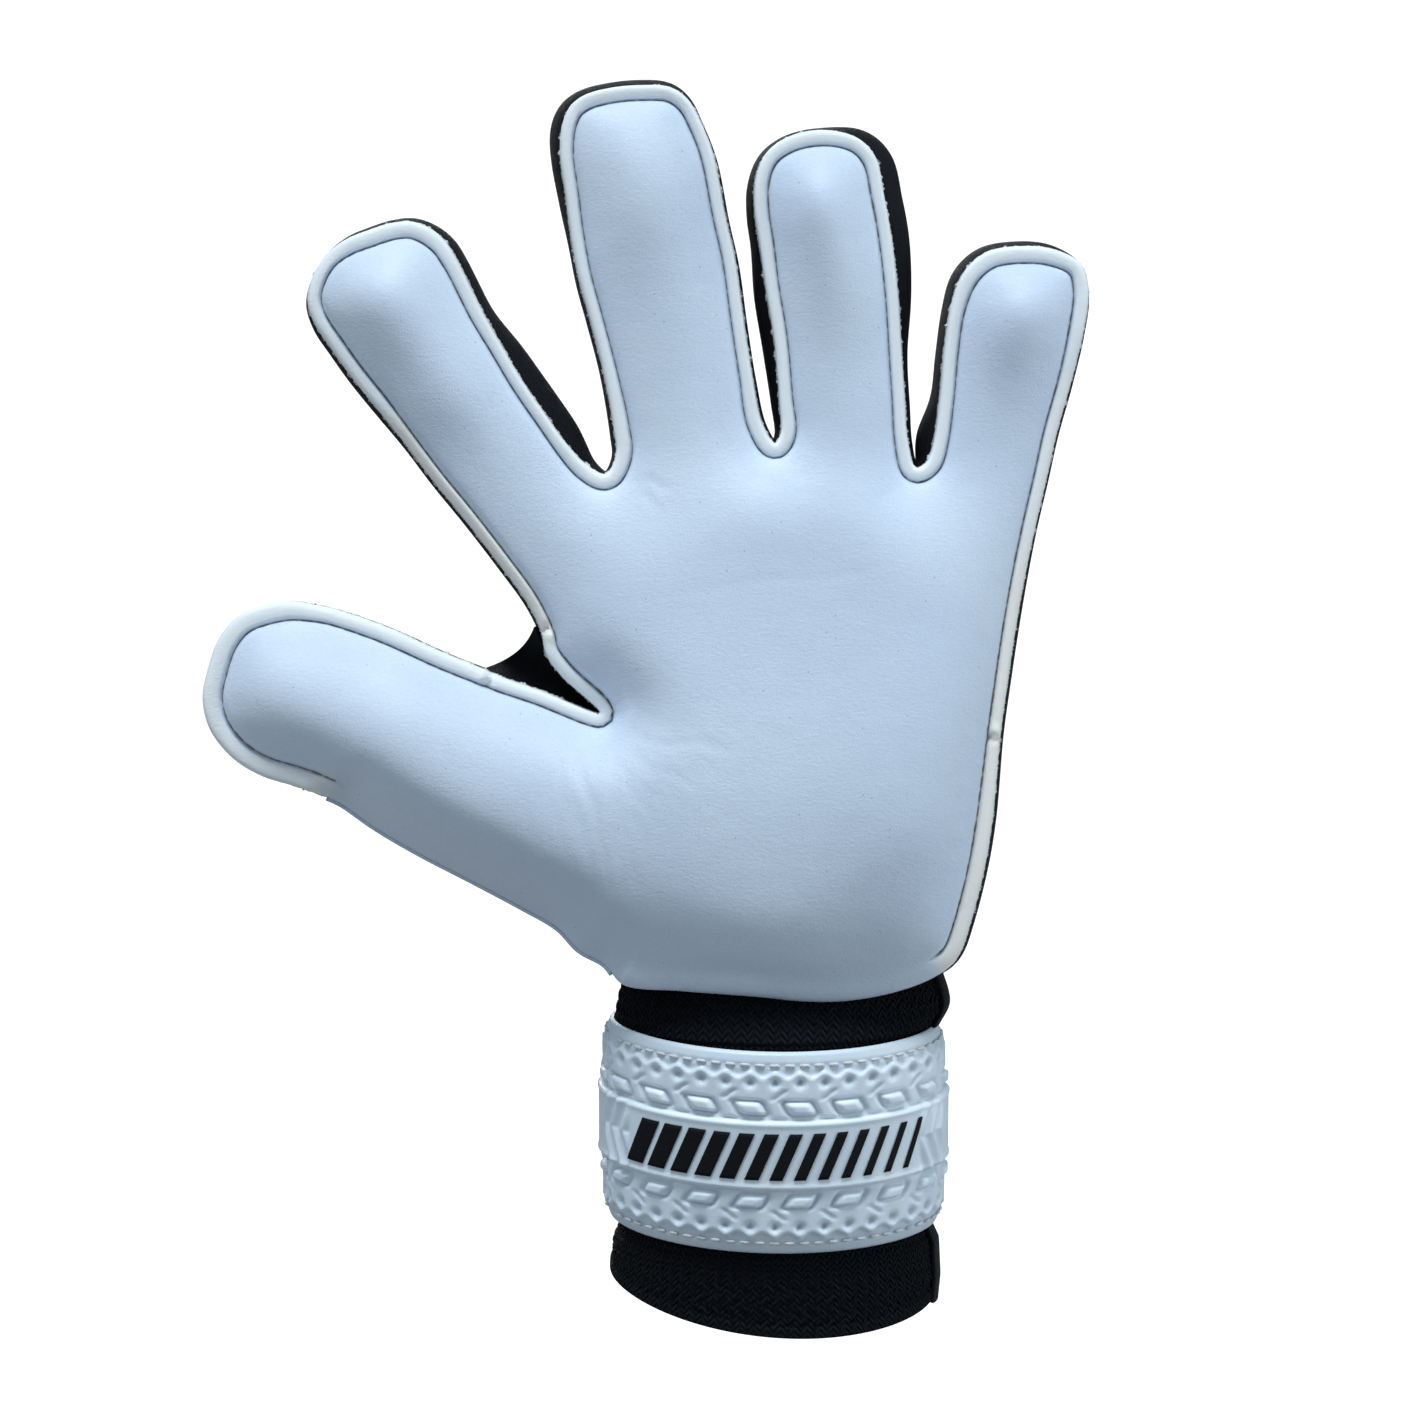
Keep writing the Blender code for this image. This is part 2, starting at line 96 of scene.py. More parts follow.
# Edges of the palm sheet, anticlockwise from the thumb side of the wrist. Each run has a name, how much of
# a sewn rim it has, how far its raw edge is turned back, how far the black wall bulges past it, its rim's
# width from the raw edge to the stitches, and its points (x, z).
RUNS = (
    ("wrist", 0, 2.4, 0, 4.3, (
        (-32.6, 67.4), (-20.2, 66.1), (-3.2, 64.8), (5.8, 63.9), (14.4, 63.9), (22.1, 65.0), (29.2, 66.9),
        (34.3, 69.1),
    )),
    ("outer_side_low", 1, 1.7, 0.8, 3.6, (
        (37.9, 71.6), (39.9, 74.4), (42.0, 80.4), (45.0, 92.2), (46.8, 103.0),
    )),
    ("outer_side", 1, 1.5, 0.6, 2.8, ((48.5, 121.2), (49.8, 130.8), (52.6, 149.1))),
    ("little_low", 1, 1.0, 0.3, 2.8, ((55.8, 165.2), (58.3, 175.9), (60.6, 186.2), (63.7, 197.3))),
    ("little_tip", 1, 0.0, 0.2, 3.2, ((66.3, 208.1), (67.3, 216.2), (65.8, 222.2))),
    ("little_top", 1, 0.0, 1.4, 3.7, ((60.0, 225.4), (52.6, 226.1), (45.4, 224.8), (40.6, 220.5))),
    ("little_inner", 1, 0.3, 0.5, 3.0, ((37.9, 213.4), (36.4, 203.8), (35.4, 193.0))),
    ("little_crotch", 1, 0.2, 4.2, 3.0, ((34.2, 184.5),)),
    ("ring_little", 1, 0.0, 0.4, 3.3, ((32.6, 179.8), (30.3, 178.5))),
    ("ring_low", 1, -0.3, 0.7, 2.7, ((28.5, 184.5), (27.9, 193.0), (27.2, 203.8))),
    ("ring_outer_low", 1, -0.5, 2.6, 2.7, ((26.4, 216.0),)),
    ("ring_outer", 1, -0.5, 3.7, 2.7, ((25.0, 228.0), (23.4, 237.0))),
    ("ring_corner", 1, -0.2, 3.4, 3.0, ((21.7, 245.0), (18.2, 249.0))),
    ("ring_tip", 1, 0.0, 0.9, 3.4, ((13.1, 250.8), (7.1, 250.8), (1.7, 249.0))),
    ("ring_inner", 1, 0.2, 0.8, 3.0, ((-2.1, 245.8), (-4.2, 240.2), (-4.3, 233.5), (-3.3, 227.0))),
    ("ring_inner_low", 1, 0.2, 1.8, 2.8, ((-1.9, 217.0), (-0.1, 205.9))),
    ("ring_base", 1, 0.2, 0.8, 2.8, ((1.0, 193.0),)),
    ("middle_ring", 1, 0.0, 0.3, 3.3, ((1.3, 186.0), (0.0, 183.8), (-2.8, 188.3))),
    ("middle_outer", 1, -0.4, 0.0, 2.7, (
        (-4.8, 198.0), (-6.7, 210.2), (-8.5, 223.1), (-10.6, 232.5), (-13.2, 245.6), (-15.9, 252.7),
        (-18.7, 257.6),
    )),
    ("middle_tip", 1, -0.4, 1.9, 3.2, ((-22.5, 260.2), (-29.0, 260.6), (-35.4, 260.0), (-40.8, 258.5))),
    ("middle_corner", 1, 0.4, 2.4, 3.0, ((-44.0, 256.1), (-45.7, 252.0))),
    ("middle_inner_top", 1, 0.4, 1.2, 2.8, ((-46.1, 245.6), (-45.0, 237.5))),
    ("middle_inner", 1, 0.5, 0.1, 2.8, ((-43.9, 228.9), (-42.2, 219.5), (-39.9, 211.0), (-36.9, 199.5))),
    ("index_middle", 1, 0.2, 0.4, 3.4, ((-34.5, 186.6), (-34.1, 181.3), (-36.3, 177.2), (-40.1, 178.9))),
    ("index_low_outer", 1, -0.3, 3.7, 2.6, ((-44.4, 183.2), (-49.3, 190.0), (-54.5, 197.6))),
    ("index_outer", 1, -0.3, 2.8, 2.6, ((-59.0, 205.3),)),
    ("index_outer_top", 1, -0.3, 1.1, 3.0, ((-62.6, 211.7), (-65.9, 218.4), (-68.6, 223.7))),
    ("index_tip", 1, 0.0, 1.1, 3.6, (
        (-70.8, 227.2), (-74.0, 229.9), (-78.1, 231.4), (-82.6, 231.0), (-87.3, 229.5), (-92.0, 227.6),
    )),
    ("index_inner", 1, 0.6, 0.4, 3.0, (
        (-96.3, 224.4), (-99.3, 219.6), (-100.4, 214.5), (-99.0, 209.8), (-95.3, 204.2), (-91.3, 198.6),
        (-85.6, 191.5),
    )),
    ("index_low", 1, 1.8, 0.1, 2.5, (
        (-80.0, 184.5), (-73.5, 175.9), (-66.8, 167.7), (-59.4, 158.1), (-53.2, 149.5), (-50.2, 143.3),
    )),
    ("web", 1, 0.6, 0.0, 3.0, (
        (-49.1, 138.4), (-45.7, 133.8), (-37.5, 125.9), (-50.2, 130.6), (-58.3, 133.4),
    )),
    ("thumb_upper", 1, 0.5, -0.7, 3.4, (
        (-63.9, 135.8), (-72.5, 139.4), (-82.6, 144.0), (-93.3, 147.8), (-98.7, 149.1),
    )),
    ("thumb_tip", 1, 0.3, -0.8, 4.3, (
        (-104.5, 149.9), (-110.0, 149.0), (-115.4, 146.7), (-119.4, 141.9), (-121.6, 136.0), (-122.9, 129.1),
        (-121.6, 123.0), (-119.0, 118.9), (-115.2, 115.2), (-109.8, 112.2), (-104.5, 110.6), (-99.7, 109.0),
    )),
    ("thumb_wrap", 0, 13.0, 0, 4.3, (
        (-94.4, 106.4), (-86.9, 101.2), (-78.3, 96.1), (-63.9, 88.6), (-54.7, 83.7), (-47.0, 79.2),
        (-42.3, 74.4), (-36.9, 71.4),
    )),
)
RIM_JOINS = ((48.0, 120.4), (-60.6, 134.4), (-50.4, 143.6))  # where one length of rim meets the next
OUTLINE_STEP = 0.3
RINGS = (0, 0.35, 0.9, 1.6, 2.4, 3.1, 3.6, 3.95, 4.3, 4.65, 5.0, 5.6, 6.4, 7.4)
GRID = 1.05

FINGERS = ("index", "middle", "ring", "little")
FINGER_PADS = dict(zip(FINGERS, (6.8, 4.6, 8.2, 8.0)))  # how far each finger's pad swells
FINGER_SPLIT = 0.57  # the share of a finger's first length at which its two bends meet
FINGER_HALF = 14.0  # half a finger's width
PAD_PEAK = 0.82  # the share of a finger's length at which its pad is highest
PALM_RISE, PALM_MIDDLE, PALM_SPREAD = 7.0, 114, 45  # the palm's broad swell: height, z and reach
THUMB_ROLL, THUMB_FALL, THUMB_SHIFT = 6.0, 0.010, 7.0  # the thumb's: height, curvature, peak below its axis

# Smaller mounds and one hollow on the palm: height, x, z and size.
PALM_BUMPS = (
    (1.6, -22, 92, 17), (1.2, 24, 100, 20), (0.8, -28, 165, 9), (0.7, -4, 170, 9), (0.7, 19, 170, 9),
    (0.8, 41, 163, 9), (-0.8, 4, 132, 17),
)
# Creases in the latex: start, end, width and depth.
CREASES = (
    ((-24, 151), (26, 157), 0.7, 0.09), ((-31, 176), (-22, 174), 0.8, 0.3),
    ((-31, 174), (-24, 169), 0.8, 0.2), ((2, 180), (7, 176), 0.7, 0.2), ((-1, 180), (-5, 175), 0.7, 0.2),
    ((28, 175), (22, 171), 0.7, 0.2), ((-46, 133), (-36, 92), 1.0, 0.30), ((-41, 100), (-34, 72), 1.0, 0.30),
    ((-33, 121), (-8, 118), 0.8, 0.13), ((-34, 120), (-18, 110), 0.8, 0.12),
    ((-50, 126), (-44, 104), 0.9, 0.2), ((-35, 118), (-27, 104), 0.9, 0.13),
)


def unit(vector):
    vector = np.asarray(vector, float)
    return vector / np.linalg.norm(vector)


def joint_place(name):
    """A joint's point in the hand's frame, as (x, z)."""
    place = np.array(JOINTS[name]["pos_m"]) / MM - ORIGIN
    return np.array((place[0], place[2]))


def to_row(points):
    """Hand-frame millimetres to row-frame metres."""
    return (np.asarray(points, float) + ORIGIN) * MM


def smooth(low, high, value):
    share = np.clip((np.asarray(value, float) - low) / (high - low), 0, 1)
    return share * share * (3 - 2 * share)


class Region:
    """One length of the glove that bends across a single joint."""

    def __init__(self, name, bodies, start=None, end=None):
        self.name, self.bodies, self.start, self.end = name, bodies, start, end

    def bind(self, piece):
        if len(self.bodies) == 1:
            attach(piece, self.bodies[0])
        else:
            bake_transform(piece)


def blend_region(name, bodies, place, direction, first, last):
    """A region whose bend runs from first to last millimetres beyond a place, along a direction."""
    middle = np.array((place[0], PALM_Y, place[1]))
    along = np.array((direction[0], 0, direction[1]))
    return Region(name, bodies, to_row(middle + along * first), to_row(middle + along * last))


class Finger:
    """Where a finger's joints lie, and the shares of its length that each bend takes."""

    def __init__(self, name):
        self.pad = FINGER_PADS[name]
        self.knuckle = joint_place(name + "_knuckle")
        self.middle = joint_place(name + "_middle")
        self.along = unit(self.middle - self.knuckle)
        axis = JOINTS[name + "_knuckle"]["axis"]
        self.over_line = unit((-axis[2], axis[0]))  # square to the knuckle line
        self.base_length = np.linalg.norm(self.middle - self.knuckle)
        root, tip = name + "_root", name + "_tip"
        self.across = np.array((self.along[1], -self.along[0]))
        turned = FINGER_SPLIT * self.base_length * (self.along @ self.over_line)
        turned -= FINGER_HALF * abs(self.across @ self.over_line)  # where the slant brings one side nearer
        self.regions = (
            blend_region(root, ("hand", name + "_base"), self.knuckle, self.over_line, 0.5, turned - 0.4),
            blend_region(
                tip, (name + "_base", name + "_tip"), self.middle, self.along,
                -0.38 * self.base_length, 0.38 * self.base_length,
            ),
        )

    def place(self, points):
        """How far points lie along the finger, to its side, and past the knuckle line."""
        away = points - self.knuckle
        return away @ self.along, away @ self.across, away @ self.over_line


class Thumb:
    def __init__(self):
        self.base = joint_place("thumb_base")
        self.joint = joint_place("thumb_tip")
        axis = JOINTS["thumb_tip"]["axis"]
        self.along = unit((-axis[2], axis[0]))
        self.regions = (
            blend_region("thumb_root", ("hand", "thumb_base"), self.base, (-1, 0), 1.0, 21.0),
            blend_region("thumb_tip", ("thumb_base", "thumb_tip"), self.joint, self.along, -11.0, 11.0),
        )

    def place(self, points):
        """How far points lie along from the tip joint, and whether they are on the thumb."""
        on_thumb = (self.below_web(points) > 0) & (points[:, 0] < self.base[0] - 1)
        return (points - self.joint) @ self.along, on_thumb

    def below_web(self, points):
        """How far below the line from the web's apex out between thumb and index finger."""
        return 126.0 + 0.62 * (self.base[0] - 1.2 - points[:, 0]) - points[:, 1]


PALM = Region("palm", ("hand",))
FINGER_PLACES = {name: Finger(name) for name in FINGERS}
THUMB = Thumb()
REGIONS = [PALM] + [part for place in (*FINGER_PLACES.values(), THUMB) for part in place.regions]


def region_of(points):
    """The index in REGIONS of each (x, z) point."""
    found = np.zeros(len(points), int)
    nearest = np.full(len(points), 1e9)
    for i, place in enumerate(FINGER_PLACES.values()):
        v, u, over = place.place(points)
        mine = (over > 0) & (np.abs(u) < nearest) & (v > -12)
        nearest[mine] = np.abs(u[mine])
        found[mine] = np.where(v[mine] < FINGER_SPLIT * place.base_length, 1, 2) + 2 * i
    v, on_thumb = THUMB.place(points)
    found[on_thumb] = np.where(v[on_thumb] < -12, 1, 2) + 2 * len(FINGERS)
    return found


# Outline ------------------------------------------------------------------------------------------


def between(place, first, last, low, high):
    """The value at a place on the line from low at first to high at last."""
    return ((last - place) * low + (place - first) * high) / (last - first)


def catmull(points, values, step):
    """A closed centripetal Catmull-Rom curve through points, at even steps, with values along it."""
    count = len(points)
    dense, dense_values = [], []
    for i in range(count):
        p = [points[(i + k) % count] for k in (-1, 0, 1, 2)]
        t = [0.0]
        for a, b in zip(p, p[1:]):
            t.append(t[-1] + np.linalg.norm(b - a) ** 0.5)
        pieces = max(4, int(np.linalg.norm(p[2] - p[1]) / step * 2))
        s = np.linspace(t[1], t[2], pieces, endpoint=False)[:, None]
        for span in (1, 2):
            p = [between(s, t[k], t[k + span], p[k], p[k + 1]) for k in range(len(p) - 1)]
        dense.append(between(s, t[1], t[2], *p))
        dense_values.append(between(s, t[1], t[2], values[i], values[(i + 1) % count]))
    dense, dense_values = np.concatenate(dense), np.concatenate(dense_values)
    lengths = np.linalg.norm(np.roll(dense, -1, 0) - dense, axis=1)
    along = np.concatenate(([0], np.cumsum(lengths)))
    wanted = np.arange(0, along[-1] - step / 2, step)
    closed, closed_values = (np.concatenate((a, a[:1])) for a in (dense, dense_values))
    out = np.stack([np.interp(wanted, along, closed[:, k]) for k in range(closed.shape[1])], 1)
    out_values = [np.interp(wanted, along, closed_values[:, k]) for k in range(closed_values.shape[1])]
    return out, np.stack(out_values, 1)


def rolling_mean(values, reach):
    """The mean of values round a closed curve, over reach samples each way."""
    padded = np.concatenate((values[-reach:], values, values[:reach]))
    kernel = np.ones(2 * reach + 1) / (2 * reach + 1)
    columns = [np.convolve(padded[:, k], kernel, "valid") for k in range(values.shape[1])]
    return np.stack(columns, 1)


class Outline:
    """The palm sheet's raw edge, densely sampled, with inward normals and edge properties.

    Distances inside it are stretched so that the stitches always lie at SEAM, though the rim's width varies.
    """

    def __init__(self):
        points, values = [], []
        for _, rim, drop, bulge, width, run in RUNS:
            for point in run:
                points.append(np.array(point, float))
                values.append(np.array((rim, drop, bulge, width), float))
        self.points, values = catmull(points, values, OUTLINE_STEP)
        values = np.hstack((rolling_mean(values[:, :2], 5), rolling_mean(values[:, 2:], 16)))
        self.rim, self.drop, self.bulge, self.width = values.T
        smoothed = rolling_mean(self.points, 2)
        tangent = np.roll(smoothed, -1, 0) - np.roll(smoothed, 1, 0)
        tangent /= np.linalg.norm(tangent, axis=1)[:, None]
        self.tangent = tangent
        self.inward = np.stack((-tangent[:, 1], tangent[:, 0]), 1)
        self.tree = kdtree.KDTree(len(self.points))
        for i, (x, z) in enumerate(self.points):
            self.tree.insert((x, z, 0), i)
        self.tree.balance()

    def nearest(self, points):
        """Signed distance inside the outline and the nearest sample, for each (x, z) point."""
        found = [self.tree.find((x, z, 0)) for x, z in points]
        index = np.array([hit[1] for hit in found])
        distance = np.array([hit[2] for hit in found])
        away = points - self.points[index]
        inside = (away * self.inward[index]).sum(1) >= 0
        width = self.width[index]
        beyond = distance + (SEAM - width) * (1 - np.clip((distance - width) / WIDTH_FADE, 0, 1))
        distance = np.where(inside, np.where(distance < width, distance * SEAM / width, beyond), -distance)
        return distance, index

    def inset(self, distance):
        """How far inside each sample a point lies that nearest() measures as distance."""
        if distance <= SEAM:
            return self.width * distance / SEAM
        return self.width + (distance - SEAM) / (1 - (SEAM - self.width) / WIDTH_FADE)


OUTLINE = Outline()


# Relief of the palm -------------------------------------------------------------------------------


def bump_at(points, x, z, size):
    """A soft round mound, 1 at (x, z)."""
    return np.exp(-((points[:, 0] - x) ** 2 + (points[:, 1] - z) ** 2) / (2 * size * size))


def crease(points, start, end, width, wobble=0.8):
    """1 along a line that fades at its ends."""
    start, end = np.array(start, float), np.array(end, float)
    along = end - start
    length = np.linalg.norm(along)
    share = np.clip((points - start) @ along / length**2, 0, 1)
    side = np.array((-along[1], along[0])) / length
    away = (points - start) @ side + wobble * np.sin(share * 9 + start[0]) * np.sin(share * 3.3)
    beyond = np.linalg.norm(points - start - share[:, None] * along, axis=1) - np.abs((points - start) @ side)
    return np.exp(-((away / width) ** 2)) * np.sin(np.pi * share) ** 0.6 * (beyond < width)


def waves(points, scale, stretch, angle, seed):
    """Smooth noise, drawn out along an angle, for wrinkles."""
    c, s = math.cos(angle), math.sin(angle)
    along = (points[:, 0] * c + points[:, 1] * s) / (scale * stretch)
    across = (-points[:, 0] * s + points[:, 1] * c) / scale
    return np.array([noise.noise((a, b, seed)) for a, b in zip(along, across)])


def palm_mounds(points, distance):
    """How far the body of the palm stands forward, apart from its edges and wrinkles."""
    mounds = PALM_RISE * np.exp(-(((points[:, 1] - PALM_MIDDLE) / PALM_SPREAD) ** 2))
    mounds *= smooth(-58, -32, points[:, 0])
    for height, x, z, size in PALM_BUMPS:
        mounds += height * bump_at(points, x, z, size)
    across = (points - THUMB.joint) @ np.array((-THUMB.along[1], THUMB.along[0])) - THUMB_SHIFT
    roll = smooth(-34, -60, points[:, 0]) * smooth(0, 5, THUMB.below_web(points))
    mounds += roll * (THUMB_ROLL - THUMB_FALL * across**2)
    for place in FINGER_PLACES.values():
        v, u, over = place.place(points)
        on = smooth(0, 8, over) * (np.abs(u) < 17)
        length = place.base_length / 0.42
        share = v / length
        spread = np.where(share > PAD_PEAK, 0.15, 0.42)
        mounds += on * place.pad * np.exp(-(((share - PAD_PEAK) / spread) ** 2))
    return (mounds + 1.6) * smooth(SEAM, SEAM + 9, distance)


def palm_wrinkles(points, distance):
    """Fine wrinkles and creases in the latex, fading out towards the stitches."""
    wrinkles = np.zeros(len(points))
    fan = bump_at(points, -22, 118, 12)
    wrinkles += 0.13 * fan * waves(points, 1.1, 7, -0.55, 3.1)
    fold = bump_at(points, -41, 104, 13) + 0.8 * bump_at(points, -36, 86, 10)
    wrinkles += 0.14 * fold * waves(points, 1.1, 8, 1.75, 7.7)
    wrinkles += 0.04 * waves(points, 3.5, 1.6, 0.1, 12.0)
    for start, end, width, depth in CREASES:
        wrinkles -= depth * crease(points, start, end, width)
    return wrinkles * smooth(4.8, 7.5, distance)


def edge_relief(distance, rim, drop, swell):
    """The sheet's section across its edge: turned rim and stitched groove, or a plain fold."""
    share = np.clip(distance / SEAM, 0, 1)
    flange = LIP * np.sin(np.pi * share**0.8) ** 0.7 - drop * (1 - share) ** 1.3
    flange -= 0.45 * np.exp(-distance / 0.25)
    groove = GROOVE * np.exp(-(((distance - SEAM) / 0.36) ** 2))
    shoulder = SHOULDER * (1 - np.exp(-np.maximum(distance - SEAM, 0) / 1.1))
    rimmed = np.where(distance < SEAM, flange, shoulder + swell) - groove
    reach = np.maximum(1.1 * drop, 3.0)
    fold = 1 - np.clip(distance / reach, 0, 1)
    plain = -drop * (1 - np.sqrt(np.clip(1 - fold**2, 0, 1)))
    plain += (SHOULDER + swell) * smooth(0, SEAM + 4, distance)
    return rim * rimmed + (1 - rim) * plain


# Meshes -------------------------------------------------------------------------------------------


def vertex_normals(verts, faces):
    """Area-weighted vertex normals of a triangle or quad mesh."""
    a, b, c = (verts[faces[:, k]] for k in (0, 1, -1))
    flat = np.cross(b - a, c - a)
    normals = np.zeros_like(verts)
    for k in range(faces.shape[1]):
        np.add.at(normals, faces[:, k], flat)
    return normals / np.maximum(np.linalg.norm(normals, axis=1), 1e-9)[:, None]


def make_piece(name, verts, faces, material, normals=None, floats=None, uvs=None):
    """A mesh object from hand-frame points. floats are named per-point values for its materials."""
    mesh = bpy.data.meshes.new(name)
    mesh.from_pydata(to_row(verts).tolist(), [], [list(map(int, face)) for face in faces])
    mesh.materials.append(material)
    mesh.polygons.foreach_set("use_smooth", np.ones(len(faces), bool))
    for label, values in (floats or {}).items():
        layer = mesh.attributes.new(label, "FLOAT", "POINT")
        layer.data.foreach_set("value", np.asarray(values, np.float32))
    if uvs is not None:
        layer = mesh.uv_layers.new(name="weave")
        loops = np.empty(len(mesh.loops), np.int32)
        mesh.loops.foreach_get("vertex_index", loops)
        layer.data.foreach_set("uv", np.asarray(uvs, np.float32)[loops].ravel())
    if normals is not None:
        mesh.normals_split_custom_set_from_vertices(normals.tolist())
    mesh.update()
    piece = bpy.data.objects.new(name, mesh)
    bpy.context.scene.collection.objects.link(piece)
    return piece


def split_by_region(name, verts, faces, region, material, floats=None, uvs=None):
    """One piece for each region that a mesh crosses, with the whole mesh's normals on each."""
    normals = vertex_normals(verts, faces)
    made = {}
    for index in np.unique(region):
        part = REGIONS[index]
        mine = region == index
        used, renumbered = np.unique(faces[mine], return_inverse=True)
        piece = make_piece(
            f"{name}_{part.name}", verts[used], renumbered.reshape(faces[mine].shape), material,
            normals=normals[used],
            floats={key: values[used] for key, values in (floats or {}).items()},
            uvs=None if uvs is None else uvs[used],
        )
        part.bind(piece)
        made[part.name] = piece
    return made


def ring_points(distance, spacing):
    """Points a set distance inside the outline, in unbroken chains."""
    moved = OUTLINE.points + OUTLINE.inward * OUTLINE.inset(distance)[:, None]
    if distance:
        away, _ = OUTLINE.nearest(moved)
        keep = away > distance - 0.1
    else:
        keep = np.ones(len(moved), bool)
    points, edges, last = [], [], None
    for i, ok in enumerate(keep):
        if not ok:
            last = None
            continue
        if last is None or np.linalg.norm(moved[i] - points[last]) >= spacing:
            points.append(moved[i])
            if last is not None:
                edges.append((last, len(points) - 1))
            last = len(points) - 1
    if keep.all():
        edges.append((len(points) - 1, 0))
    return np.array(points), edges


def triangulate(rings, grid, inner):
    """A triangle mesh of the sheet's outline with its rings as edges, and a hexagonal grid inside."""
    points, edges = [], []
    for distance in rings:
        ring, ring_edges = ring_points(distance, min(0.75 + 0.07 * distance, 1.1) if len(rings) > 2 else 2.0)
        edges += [(a + len(points), b + len(points)) for a, b in ring_edges]
        points += list(ring)
    low, high = OUTLINE.points.min(0), OUTLINE.points.max(0)
    rows = np.arange(low[1], high[1], grid * math.sqrt(3) / 2)
    columns = np.arange(low[0], high[0], grid)
    cells = np.array([(x + (grid / 2 if i % 2 else 0), z) for i, z in enumerate(rows) for x in columns])
    distance, _ = OUTLINE.nearest(cells)
    points += list(cells[distance > inner])
    flat = [Vector(point) for point in points]
    verts, _, faces, *_ = geometry.delaunay_2d_cdt(flat, edges, [], 0, 1e-4)
    verts = np.array([tuple(v) for v in verts])
    faces = np.array([face for face in faces if len(face) == 3])
    centre = verts[faces].mean(1)
    inside = OUTLINE.nearest(centre)[0] > 0
    faces = faces[inside]
    a, b, c = (verts[faces[:, k]] for k in range(3))
    turned = np.cross(b - a, c - a) < 0
    faces[turned] = faces[turned][:, ::-1]
    return verts, faces


def boundary_loops(faces):
    """Directed edges that only one face uses."""
    pairs = np.concatenate([faces[:, (k, (k + 1) % 3)] for k in range(3)])
    seen = {tuple(pair) for pair in pairs}
    return [pair for pair in seen if (pair[1], pair[0]) not in seen]


def closed_sheet(flat, faces, front_y, back_y, facing):
    """A sheet with a relief on its shown side, a flat inner side and a cut edge.

    flat are (x, z) points, facing is -1 for a sheet seen from -y. Returns points, triangles and a
    per-point 1 on the cut edge and inside.
    """
    count = len(flat)
    outer = np.stack((flat[:, 0], front_y, flat[:, 1]), 1)
    inner = np.stack((flat[:, 0], back_y, flat[:, 1]), 1)
    rim = boundary_loops(faces)
    middle_of = {}
    middles = []
    for pair in rim:
        for vert in pair:
            if vert not in middle_of:
                middle_of[vert] = 2 * count + len(middles)
                middles.append((outer[vert] + inner[vert]) / 2)
    verts = np.concatenate((outer, inner, np.array(middles)))
    sides = []
    for a, b in rim:
        for near, far in ((lambda v: v, middle_of.get), (middle_of.get, lambda v: v + count)):
            sides += [(near(b), near(a), far(a)), (near(b), far(a), far(b))]
    shown, hidden = (faces, faces[:, ::-1] + count)
    all_faces = np.concatenate((shown, hidden, np.array(sides)))
    if facing > 0:
        all_faces = all_faces[:, ::-1]
    cut = np.concatenate((np.zeros(count), np.ones(len(verts) - count)))
    return verts, all_faces, cut


# The padded body of a sheet ------------------------------------------------------------------------


def billow(flat, faces, held, pressure):
    """How far a cloth held along its stitches blows out, in millimetres, by cloth simulation."""
    mesh = bpy.data.meshes.new("billow")
    mesh.from_pydata([(x * MM, 0, z * MM) for x, z in flat], [], faces.tolist())
    piece = bpy.data.objects.new("billow", mesh)
    scene = bpy.context.scene
    scene.collection.objects.link(piece)
    piece.vertex_groups.new(name="held").add(np.flatnonzero(held).tolist(), 1.0, "REPLACE")
    cloth = piece.modifiers.new("cloth", "CLOTH")
    cloth.settings.quality = 6
    cloth.settings.mass = 0.02
    cloth.settings.tension_stiffness = cloth.settings.compression_stiffness = 6
    cloth.settings.bending_stiffness = 0.2
    cloth.settings.shrink_min = -0.02
    cloth.settings.vertex_group_mass = "held"
    cloth.settings.use_pressure = True
    cloth.settings.uniform_pressure_force = pressure
    cloth.settings.effector_weights.gravity = 0
    cloth.point_cache.frame_end = BILLOW_FRAMES
    for moment in range(1, BILLOW_FRAMES + 1):
        scene.frame_set(moment)
    shape = piece.evaluated_get(bpy.context.evaluated_depsgraph_get()).data
    places = np.empty(len(flat) * 3)
    shape.vertices.foreach_get("co", places)
    bpy.data.objects.remove(piece)
    scene.frame_set(1)
    return -places.reshape(-1, 3)[:, 1] / MM


def relaxed(heights, faces, free, rounds):
    """Heights evened out between neighbours, where a point is free to move."""
    pairs = np.unique(np.sort(np.concatenate([faces[:, (k, (k + 1) % 3)] for k in range(3)]), axis=1), axis=0)
    count = np.bincount(pairs.ravel(), minlength=len(heights))
    for _ in range(rounds):
        total = np.bincount(pairs[:, 0], heights[pairs[:, 1]], len(heights))
        total += np.bincount(pairs[:, 1], heights[pairs[:, 0]], len(heights))
        heights = np.where(free, 0.4 * heights + 0.6 * total / count, heights)
    return heights


